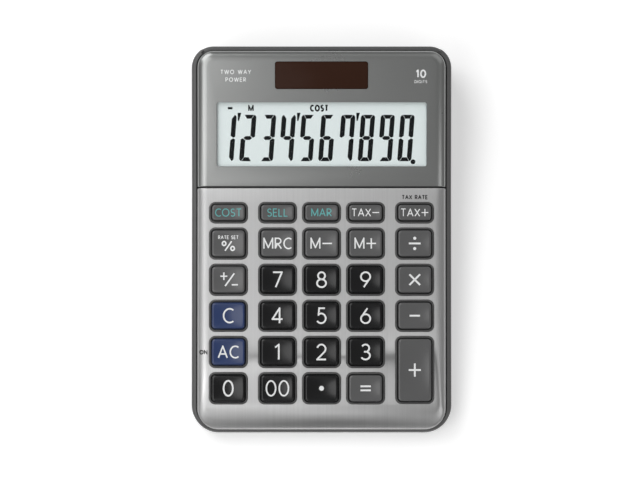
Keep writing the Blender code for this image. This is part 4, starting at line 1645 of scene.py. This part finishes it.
    def _roll_at(self, inside: float) -> float:
        """Drop of the rolled edge at a distance inside the panel's outline."""
        way = min(max(1.0 - inside / self.roll_width, 0.0), 1.0)
        return self.roll_drop * (1.0 - math.sqrt(1.0 - way * way))

    def _display_panel(self) -> None:
        """Model the metallic panel with its two window openings."""
        panel = self._skin("painted_display_panel", self.panel_thickness)
        keep_side(panel, self.slopes.seam_y + self.seam_gap / 2, front=False)
        self._ease_seam(panel, 1.0)
        place = self.slopes.display()
        for node, radius in (("lcd_window", 1.1 * MM), ("solar_window", 1.0 * MM)):
            box, levels = extent((node,), place), (-6 * MM, 4 * MM)
            cutter = rounded_over("window", box, levels, radius, 10, self.window_room)
            cutter.data.transform(place)
            carve(panel, cutter)
        shade(panel, 30.0)
        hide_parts("display_panel")
        self.place(panel, "panel_paint", slot="panel_grey")

    def _upper_shell(self, spots: Sequence[tuple[Point, Point]]) -> None:
        """Model the upper shell: walls, rounded rim, groove and deck.

        Args:
            spots: each key's middle and cap size.
        """
        shell = self._outline("upper_shell", 0.0, 0.0, (-self.split, -self.rim_drop))
        lip = self.panel_inset - self.groove
        crest = self.rim_drop - self.rim_round
        ease, cove = self.ease, self.cove
        with editing(shell):
            pick_end(shell, top=True)
            roll_edge(self.rim_round, self.rim_round, 8)
            step_in(lip - self.rim_round - ease, 0.0)
            step_in(ease, -ease)
            extrude_up(crest + ease - self.groove_drop)
            step_in(self.deck_inset - lip, 0.0)
            extrude_up(self.groove_drop - self.deck_drop)
            pick_end(shell, top=False)
            step_in(self.wall, 0.0)
            extrude_up(self.split - cove)
            step_in(self.deck_inset + self.cove_width - self.wall, 0.0)
            extrude_up(cove - self.deck_drop - self.deck_thickness)
        with editing(shell):
            pick(
                shell,
                Element.VERTEX,
                lambda vertex: vertex.co.y < self.slopes.front_y + self.front_corner + ease
                and vertex.co.z > -self.groove_drop - ease
                and lip - 3 * ease < self._inside(vertex.co) < self.deck_inset + ease,
            )
            shift = self.panel_front - self.panel_inset
            bpy.ops.transform.translate(value=(0.0, shift, 0.0))
        step_from, step_to = (self.slopes.seam_y - before for before in self.step_down)
        cut_across(shell, [*self._stations(), step_from, step_to])
        for vertex in shell.data.vertices:
            deep = self._inside(vertex.co) > self.deck_inset - ease
            if deep and vertex.co.y > step_to - ease and vertex.co.z > -self.groove_drop:
                vertex.co.z -= self.display_drop
        self.slopes.lay(
            shell,
            lambda y, flat: self.slopes.slope_height(y) + flat,
            bottom_below=-cove + 0.01 * MM,
        )
        place, levels = self.slopes.keypad(), (-12 * MM, 4 * MM)
        cutter = key_cutters("deck_holes", spots, self.deck_room, self.cap_corner, place, levels)
        carve(shell, cutter)
        place, levels = self.slopes.display(), (-9 * MM, 3 * MM)
        for nodes in (("lcd_glass", "lcd_frame"), ("solar_cell",)):
            box = extent(nodes, place)
            opening = rounded_over("opening", box, levels, 0.5 * MM, 3, self.screen_room)
            opening.data.transform(place)
            carve(shell, opening)
        shade(shell, 35.0)
        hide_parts("upper_case")
        self.place(shell, "case_plastic", slot="case_grey")

    def _inside(self, spot: Vector) -> float:
        """Distance of a spot from the case's outline in plan, inwards."""
        front = self.slopes.front_y + self.front_corner
        side = self.slopes.half_width - self.front_corner
        if spot.y < front and abs(spot.x) > side:
            return self.front_corner - math.hypot(abs(spot.x) - side, spot.y - front)
        return min(self.slopes.half_width - abs(spot.x), spot.y - self.slopes.front_y)

    def _rear_shell(self) -> None:
        """Model the lower shell: a tray with eased edges, foot recesses and screw wells."""
        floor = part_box("rear_case")[0].z
        top = -self.split - 0.3 * MM
        base = -40.0 * MM
        shell = self._outline("rear_shell", 0.0, 0.0, (base, top))
        with editing(shell):
            pick_end(shell, top=False)
            roll_edge(1.5 * MM, 1.5 * MM, 5)
        base = min(vertex.co.z for vertex in shell.data.vertices)
        with editing(shell):
            pick_end(shell, top=True)
            step_in(self.wall, 0.0)
            extrude_up(base + self.floor_thickness - top)
        cut_across(shell, [self.slopes.seam_y])
        self.slopes.lay(
            shell,
            lambda y, flat: self._rear_level(y, flat, base, floor),
            bottom_below=0.0,
        )
        bosses, cutters = [], []
        for node in bpy.data.objects:
            if not node.name.startswith(("foot_", "case_screw_")):
                continue
            low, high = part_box(node.name)
            middle = low.lerp(high, 0.5)
            radius = (high.x - low.x) / 2 + 0.3 * MM
            head = node.name.startswith("case_screw_")
            ceiling = low.z + 1.5 * MM if head else high.z + 0.1 * MM
            cutters.append(post(f"room_{node.name}", middle, radius, (-1.0 * MM, ceiling)))
            if head:
                summit = self.slopes.slope_height(middle.y - 4.0 * MM) + top - 0.05 * MM
                levels = (floor + 0.5 * self.floor_thickness, summit)
                bosses.append(post(f"boss_{node.name}", middle, radius + 1.3 * MM, levels))
        union = joined("bosses", bosses)
        apply_modifier(shell, "BOOLEAN", object=union, operation="UNION", solver="EXACT")
        bpy.data.objects.remove(union)
        carve(shell, joined("rooms", cutters))
        shade(shell, 35.0)
        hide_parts("rear_case")
        self.place(shell, "case_plastic", slot="case_grey")

    def _rear_level(self, y: float, flat: float, base: float, floor: float) -> float:
        """Height of a vertex of the lower shell from its flat level.

        Args:
            y: its y.
            flat: its flat level.
            base: the lowest flat level.
            floor: height of the case's underside.

        Returns:
            Its height: measured from the underside near it, and else from the slopes.
        """
        if flat < base + 5 * MM:
            return floor + flat - base
        return self.slopes.slope_height(y) + flat


# ---------------------------------------------------------------------------------------------
# The display
# ---------------------------------------------------------------------------------------------


@dataclass
class Display(Assembly):
    """The screen's digits and signs, the two windows and the prints on the panels.

    Attributes:
        digit_width: width of a digit, outside its bars.
        digit_height: height of a digit.
        digit_base: distance of the digits' feet from the window's lower edge.
        digit_start: distance of the first digit's place from the window's left edge.
        pitch: distance from one digit to the next.
        slant: lean of the digits, in radians.
        upright: thickness of the upright bars.
        level: thickness of the level bars.
        joint: gap between two bars.
        shown: the number on the screen.
        film: thickness of a bar.
        screen_level: level of the screen's upper face on the display slope.
        mark_places: the digits that a mark between thousands follows.
        mark_at: place of such a mark from its digit's left and from the digits' feet.
        mark: outline of the mark, in millimetres.
        point_at: place of the decimal point from the window's left and the digits' feet.
        point_radius: radius of the decimal point.
        sign_level: level of the small signs above the window's lower edge.
        print_lift: how far a print's middle is above its panel.
        lettering: draws the signs and the prints.
    """

    digit_width: float = 5.55 * MM
    digit_height: float = 18.2 * MM
    digit_base: float = 1.95 * MM
    digit_start: float = 0.84 * MM
    pitch: float = 7.76 * MM
    slant: float = math.radians(4.3)
    upright: float = 1.84 * MM
    level: float = 1.52 * MM
    joint: float = 0.16 * MM
    shown: str = "1234567890"
    film: float = 0.04 * MM
    screen_level: float = -1.4 * MM
    mark_places: tuple[int, ...] = (0, 3, 6)
    mark_at: Point = (7.25 * MM, 19.0 * MM)
    mark: tuple[Point, ...] = ((0.0, 0.0), (1.4, 0.0), (0.55, -3.15), (0.05, -3.15))
    point_at: Point = (76.9 * MM, -0.25 * MM)
    point_radius: float = 0.95 * MM
    sign_level: float = 22.75 * MM
    print_lift: float = 0.008 * MM
    lettering: Lettering = field(default_factory=Lettering)

    def build(self) -> None:
        """Build the screen, the windows and the prints."""
        self._glass()
        self._digits()
        self._signs()
        self._windows()
        self._prints()

    BARS = {
        "0": "abcdef", "1": "bc", "2": "abged", "3": "abgcd", "4": "fgbc",
        "5": "afgcd", "6": "afgedc", "7": "fabc", "8": "abcdefg", "9": "gfabcd",
    }

    def _bar(self, which: str) -> Stroke:
        """Outline of one bar of a digit, before it is slanted.

        Args:
            which: the bar's letter, a to g, from the top clockwise and then the middle.

        Returns:
            Its corners.
        """
        w, h, u, v, g = self.digit_width, self.digit_height, self.upright, self.level, self.joint
        mid = h / 2
        mitre = u * 0.42
        turn = u * 0.62
        if which == "a":
            foot = u + g * 0.4
            return [(mitre + g, h), (w - mitre - g, h), (w - foot, h - v), (foot, h - v)]
        if which == "d":
            return [(x, h - y) for x, y in reversed(self._bar("a"))]
        if which == "g":
            return [
                (u * 0.5 + g, mid),
                (u + g * 0.5, mid + v / 2),
                (w - u - g * 0.5, mid + v / 2),
                (w - u * 0.5 - g, mid),
                (w - u - g * 0.5, mid - v / 2),
                (u + g * 0.5, mid - v / 2),
            ]
        if which == "f":
            corner = [
                (turn - turn * math.cos(a), h - turn + turn * math.sin(a))
                for a in (0.0, math.pi / 8, math.pi / 4)
            ]
            return [
                (0.0, mid + u * 0.30),
                *corner,
                (mitre, h - 0.02 * MM),
                (u, h - v - g * 0.6),
                (u, mid + v / 2 + g * 0.8),
                (u * 0.42, mid + g * 0.7),
            ]
        if which == "e":
            return [(x, h - y) for x, y in reversed(self._bar("f"))]
        if which == "b":
            return [(w - x, y) for x, y in reversed(self._bar("f"))]
        return [(w - x, h - y) for x, y in self._bar("f")]

    def _slab(self, name: str, outlines: Sequence[Stroke], top: float) -> bpy.types.Object:
        """Make thin closed slabs from flat outlines on the display slope.

        Args:
            name: the piece's name.
            outlines: the outlines.
            top: level of the surface that they lie on.

        Returns:
            The slabs as one piece.
        """
        slabs = [film(f"{name}_{i}", [outline], self.film) for i, outline in enumerate(outlines)]
        drawn = joined(name, slabs)
        drawn.data.transform(
            self.slopes.display() @ Matrix.Translation((0.0, 0.0, top + self.film * 0.3))
        )
        return drawn

    def _glass(self) -> None:
        """Model the screen's glass with the raised polarizing film that fills the opening."""
        place = self.slopes.display()
        low, high = extent(("lcd_glass",), place)
        size = (high.x - low.x, high.y - low.y)
        glass = rounded_over("lcd_screen_glass", (low, high), (low.z, high.z), 0.4 * MM, 3)
        inner = extent(("lcd_window",), place)
        margin = (size[0] - (inner[1].x - inner[0].x)) / 2 + 0.05 * MM
        with editing(glass):
            pick_end(glass, top=True)
            step_in(0.3 * MM, 0.0)
            shrink = [(size[i] - 2 * margin) / (size[i] - 0.6 * MM) for i in (0, 1)]
            bpy.ops.transform.resize(value=(shrink[0], shrink[1], 1.0))
            extrude_up(self.screen_level - high.z)
        shade(glass)
        glass.data.transform(place)
        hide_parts("lcd_glass")
        self.place(glass, "screen", slot="lcd_screen")

    def _window_corner(self) -> Point:
        """Lower left corner of the clear window on the display slope."""
        low = extent(("lcd_window",), self.slopes.display())[0]
        return low.x, low.y

    def _digits(self) -> None:
        """Lay the ten digits, the marks between thousands and the point on the glass."""
        left, low = self._window_corner()
        base = low + self.digit_base
        start = left + self.digit_start
        lean = math.tan(self.slant)
        outlines = []
        for place, character in enumerate(self.shown):
            at = start + place * self.pitch
            for bar in self.BARS[character]:
                outlines.append([(at + x + y * lean, base + y) for x, y in self._bar(bar)])
        for place in self.mark_places:
            at = start + place * self.pitch + self.mark_at[0]
            high = base + self.mark_at[1]
            outlines.append([(at + x * MM, high + y * MM) for x, y in self.mark])
        point = (left + self.point_at[0], base + self.point_at[1])
        outlines.append(arc(point, (self.point_radius, self.point_radius), 0, 345, 23))
        digits = self._slab("lcd_digits", outlines, self.screen_level)
        self.place(digits, "screen_segment", slot="lcd_screen")

    def _signs(self) -> None:
        """Lay the small signs above the digits."""
        left, low = self._window_corner()
        level = low + self.sign_level
        lines = (
            Line("-", 2.9 * MM, 0.9 * MM, (left + 5.15 * MM, level)),
            Line("M", 2.6 * MM, 0.5 * MM, (left + 13.3 * MM, level), width=0.95),
            Line("COST", 2.7 * MM, 0.62 * MM, (left + 40.1 * MM, level), 0.06, 0.76),
        )
        signs = self.lettering.draw("lcd_signs", lines)
        top = self.screen_level + self.film * 0.3
        signs.data.transform(self.slopes.display() @ Matrix.Translation((0.0, 0.0, top)))
        self.place(signs, "screen_segment", slot="lcd_screen")

    def _windows(self) -> None:
        """Model the two windows with eased edges."""
        place = self.slopes.display()
        for node, paint in (("lcd_window", "clear_lens"), ("solar_window", "smoked_lens")):
            box = extent((node,), place)
            lens = rounded_over(f"{node}_lens", box, (box[0].z, box[1].z), 1.0 * MM, 10)
            soften(lens, 0.12 * MM, 3, 60.0)
            shade(lens, 40.0)
            lens.data.transform(place)
            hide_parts(node)
            self.place(lens, paint, slot=paint)

    def _prints(self) -> None:
        """Print the plain words on the display panel and the metal."""
        power = (
            Line("TWO WAY", 1.75 * MM, 0.27 * MM, (-33.6 * MM, 45.2 * MM), 0.2),
            Line("POWER", 1.75 * MM, 0.27 * MM, (-33.6 * MM, 42.2 * MM), 0.2),
        )
        digits = (
            Line("10", 3.3 * MM, 0.62 * MM, (38.9 * MM, 44.5 * MM), 0.1, 1.05),
            Line("DIGITS", 1.15 * MM, 0.17 * MM, (38.9 * MM, 41.4 * MM), 0.2),
        )
        metal = (
            Line("TAX RATE", 1.75 * MM, 0.36 * MM, (36.6 * MM, 91.6 * MM), 0.06),
            Line("ON", 1.8 * MM, 0.34 * MM, (-46.3 * MM, 30.8 * MM), 0.1),
        )
        self._print("print_power", power, self.slopes.display(), Ink.WHITE)
        self._print("print_digits", digits, self.slopes.display(), Ink.WHITE)
        self._print("print_metal", metal, self.slopes.keypad(), Ink.BLACK, bends=True)

    def _print(self, name: str, lines: Sequence[Line], place: Matrix, ink: Ink,
               bends: bool = False) -> None:
        """Print one piece of lettering on a slope.

        Args:
            name: the new piece's name.
            lines: its lines of text.
            place: the slope's place.
            ink: its colour.
            bends: let it follow the metal's curl at the seam.
        """
        printed = self.lettering.draw(name, lines, bends)
        printed.data.transform(place @ Matrix.Translation((0.0, 0.0, self.print_lift)))
        if bends:
            for vertex in printed.data.vertices:
                vertex.co.z += self.slopes.curl(vertex.co.y)
        self.place(printed, ink.value)


# ---------------------------------------------------------------------------------------------
# What is underneath and inside
# ---------------------------------------------------------------------------------------------


@dataclass
class Inside(Assembly):
    """The rubber mat, the feet and screws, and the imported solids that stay.

    Attributes:
        dome_radius: radius of a dome at its foot.
        low_dome_radius: the same under the low keys.
        keep: height of a pressed dome as a share of its height at rest.
        sheet: thickness of the mat between its domes.
        tall_offsets: where the domes under the tall key are, from its middle.
        screw_slot: half length and half width of one arm of a screw's recess.
    """

    dome_radius: float = 3.4 * MM
    low_dome_radius: float = 2.6 * MM
    # keep: height of a pressed dome as a share of its height at rest; not used.
    keep: float = 0.2
    sheet: float = 0.8 * MM
    tall_offsets: tuple[float, ...] = (-8.0 * MM, 0.0, 8.0 * MM)
    screw_slot: Point = (1.3 * MM, 0.26 * MM)

    CARRIED = {
        "lcd_frame": "black_resin",
        "lcd_reflector": "silvered_film",
        "solar_cell": "solar_film",
        "main_board": "solder_resist",
        "chip_cover": "black_resin",
        "capacitor": "black_sleeve",
        "button_cell": "plated_steel",
        "cell_contact_negative": "plated_steel",
        "cell_contact_positive": "plated_steel",
        "display_ribbon": "amber_film",
        "solar_lead_positive": "red_sleeve",
        "solar_lead_negative": "black_sleeve",
    }

    def build(self, spots: Sequence[tuple[Point, Point]]) -> None:
        """Build the mat, the feet and the screws, and dress what stays.

        Args:
            spots: each key's middle and cap size, in the order of KEY_STYLES.
        """
        for node, paint in self.CARRIED.items():
            self.paints.dress(bpy.data.objects[node], paint)
        self._mat(spots)
        self._feet()
        self._screws()

    def _mat(self, spots: Sequence[tuple[Point, Point]]) -> None:
        """Model the mat's sheet, and its domes as pieces of their own.

        Args:
            spots: each key's middle and cap size.
        """
        place = self.slopes.keypad()
        low, high = extent(("key_mat",), place)
        top = low.z + self.sheet
        sheet = rounded_over("mat_sheet", (low, high), (low.z, top), 2.0 * MM, 6)
        soften(sheet, 0.2 * MM, 2, 60.0)
        shade(sheet)
        sheet.data.transform(place)
        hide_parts("key_mat")
        self.place(sheet, "mat_rubber", slot="soft_rubber")
        for name, (middle, cap) in zip(KEY_STYLES, spots):
            radius = self.low_dome_radius if cap[1] < 8 * MM else self.dome_radius
            offsets = self.tall_offsets if name == "plus" else (0.0,)
            levels = (top, high.z)
            domes = [
                self._dome(f"dome_{name}_{i}", (middle[0], middle[1] + offset), radius, levels)
                for i, offset in enumerate(offsets)
            ]
            dome = joined(f"dome_{name}", domes)
            dome.data.transform(place)
            self.place(dome, "mat_rubber", slot="soft_rubber")
            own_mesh(dome)

    @staticmethod
    def _dome(name: str, middle: Point, radius: float, levels: Point) -> bpy.types.Object:
        """Model one dome: a cone with a shoulder and a flat head.

        Args:
            name: its name.
            middle: its middle on the slope.
            radius: its radius at the foot.
            levels: level of its foot and of its head.

        Returns:
            The dome.
        """
        bpy.ops.object.select_all(action="DESELECT")
        tall = levels[1] - levels[0]
        bpy.ops.mesh.primitive_cone_add(
            vertices=28,
            radius1=radius,
            radius2=radius * 0.66,
            depth=tall * 0.7,
            location=(middle[0], middle[1], levels[0] + tall * 0.35 + 0.01 * MM),
        )
        bpy.ops.object.transform_apply(location=True, rotation=True, scale=True)
        dome = bpy.context.object
        dome.name = name
        with editing(dome):
            pick_end(dome, top=True)
            step_in(radius * 0.16, 0.0)
            extrude_up(tall * 0.3 - 0.02 * MM)
        soften(dome, 0.12 * MM, 2, 40.0)
        shade(dome)
        return dome

    def _feet(self) -> None:
        """Model the four rubber feet, each with an eased edge and a shallow hollow."""
        for end in ("front", "back"):
            for hand in ("left", "right"):
                node = f"foot_{end}_{hand}"
                low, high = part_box(node)
                spot = low.lerp(high, 0.5)
                radius = (high.x - low.x) / 2
                foot = post(f"{node}_pad", spot, radius, (low.z, high.z))
                with editing(foot):
                    pick_end(foot, top=False)
                    step_in(0.9 * MM, 0.0)
                    step_in(0.25 * MM, -0.2 * MM)
                soften(foot, 0.3 * MM, 4, 60.0)
                shade(foot)
                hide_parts(node)
                self.place(foot, "foot_rubber", slot="black_rubber")

    def _screws(self) -> None:
        """Model the six case screws with a cross recess in the head."""
        for end in ("front", "middle", "back"):
            for hand in ("left", "right"):
                node = f"case_screw_{end}_{hand}"
                low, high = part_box(node)
                spot = low.lerp(high, 0.5)
                radius = (high.x - low.x) / 2
                head = low.z + 1.2 * MM
                screw = post(f"{node}_bolt", spot, radius, (low.z, head))
                with editing(screw):
                    pick_end(screw, top=True)
                    step_in(radius - 0.8 * MM, 0.0)
                    extrude_up(high.z - head)
                soften(screw, 0.25 * MM, 3, 60.0)
                for half in (self.screw_slot, self.screw_slot[::-1]):
                    corner = Vector((*half, 0.0))
                    near = (spot.x - corner.x, spot.y - corner.y, low.z - 0.5 * MM)
                    far = (spot.x + corner.x, spot.y + corner.y, low.z + 0.7 * MM)
                    carve(screw, block("slot", near, far))
                shade(screw)
                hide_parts(node)
                self.place(screw, "plated_steel", slot="bright_steel")


# ---------------------------------------------------------------------------------------------
# The studio
# ---------------------------------------------------------------------------------------------


@dataclass
class Studio:
    """Camera, floor and soft lights.

    Attributes:
        lens: focal length of the camera, in millimetres.
        sensor: width of the camera's sensor, in millimetres.
        frame_width: width that the frame takes in at the object, in metres.
        tilt: how far the camera leans from straight down, in radians.
        aim: point of the face in the middle of the frame.
        floor_glow: strength of the floor's own light.
        surround: strength of the dim surround.
    """

    lens: float = 180.0
    sensor: float = 36.0
    frame_width: float = 250.7 * MM
    tilt: float = math.radians(7.3)
    aim: tuple[float, float, float] = (-0.6 * MM, -0.85 * MM, 20.5 * MM)
    floor_glow: float = 0.36
    surround: float = 0.24

    def build(self) -> None:
        """Set up the camera, the floor and the lights."""
        self._camera()
        self._floor()
        self._lights()

    def _camera(self) -> None:
        """Add the camera, square to the mean slope of the face."""
        data = bpy.data.cameras.new("camera")
        data.lens = self.lens
        data.sensor_width = self.sensor
        data.clip_start = 0.01
        data.clip_end = 20.0
        camera = bpy.data.objects.new("camera", data)
        away = self.frame_width * self.lens / self.sensor
        back = Vector((0.0, -math.sin(self.tilt), math.cos(self.tilt)))
        camera.location = Vector(self.aim) + back * away
        camera.rotation_euler = (self.tilt, 0.0, 0.0)
        bpy.context.scene.collection.objects.link(camera)
        bpy.context.scene.camera = camera

    def _floor(self) -> None:
        """Add a wide pale floor under the feet."""
        floor = block("studio_floor", (-3.0, -3.0, -0.02), (3.0, 3.0, 0.0))
        material = bpy.data.materials.new("floor_paper")
        material.use_nodes = True
        graph = Graph(material.node_tree)
        shader = material.node_tree.nodes["Principled BSDF"]
        shader.inputs["Roughness"].default_value = 0.7
        shader.inputs["Specular IOR Level"].default_value = 0.2
        shader.inputs["Emission Color"].default_value = (1.0, 1.0, 1.0, 1.0)
        shader.inputs["Emission Strength"].default_value = self.floor_glow
        place = graph.add("TexCoord")
        noise = graph.add("TexNoise", {"Scale": 3.0, "Detail": 2.0})
        shades = graph.add(
            "MixRGB", {"Color1": (0.90, 0.90, 0.90, 1.0), "Color2": (0.93, 0.93, 0.93, 1.0)}
        )
        graph.join(place, "Object", noise, "Vector")
        graph.join(noise, "Fac", shades, "Fac")
        graph.join(shades, "Color", shader, "Base Color")
        floor.data.materials.append(material)

    def _lights(self) -> None:
        """Add an even dim surround and the soft boxes."""
        world = bpy.data.worlds.new("studio")
        world.use_nodes = True
        light = world.node_tree.nodes["Background"].inputs
        light["Color"].default_value = (1.0, 1.0, 1.0, 1.0)
        light["Strength"].default_value = self.surround
        bpy.context.scene.world = world
        bpy.context.scene.view_settings.view_transform = "Standard"
        self._soft_box("back_left_box", (-0.55, 0.6, 0.75), (0.75, 0.75), 4.6)
        self._soft_box("front_left_box", (-0.55, -0.5, 0.7), (0.7, 0.7), 1.5)
        self._soft_box("back_right_box", (0.55, 0.5, 0.7), (0.8, 0.8), 0.9)
        self._soft_box("front_right_box", (0.55, -0.5, 0.7), (0.5, 0.5), 1.0)
        self._soft_box("forward_box", (-0.2, -0.30, 0.55), (0.34, 0.32), 0.12)
        self._soft_box("overhead_box", (-0.245, -0.02, 0.62), (0.47, 0.34), 0.92)

    @staticmethod
    def _soft_box(name: str, spot: tuple[float, float, float], size: Point, power: float) -> None:
        """Add one area light aimed at the object.

        Args:
            name: its name.
            spot: its place.
            size: its width and height.
            power: its power, in watts.
        """
        data = bpy.data.lights.new(name, "AREA")
        data.shape = "RECTANGLE"
        data.size, data.size_y = size
        data.energy = power
        light = bpy.data.objects.new(name, data)
        light.location = spot
        light.rotation_euler = (-Vector(spot)).to_track_quat("-Z", "Y").to_euler()
        bpy.context.scene.collection.objects.link(light)


def main() -> None:
    """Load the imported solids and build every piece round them."""
    logging.basicConfig(level=logging.INFO, format="%(name)s: %(message)s")
    for thing in list(bpy.data.objects):
        bpy.data.objects.remove(thing)
    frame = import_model()
    slopes = Slopes.from_frame(frame)
    paints = Paintbox()
    Studio().build()
    spots = Keypad(slopes, paints).build()
    Housing(slopes, paints).build(spots)
    Display(slopes, paints).build()
    Inside(slopes, paints).build(spots)


if __name__ == "__main__":
    main()
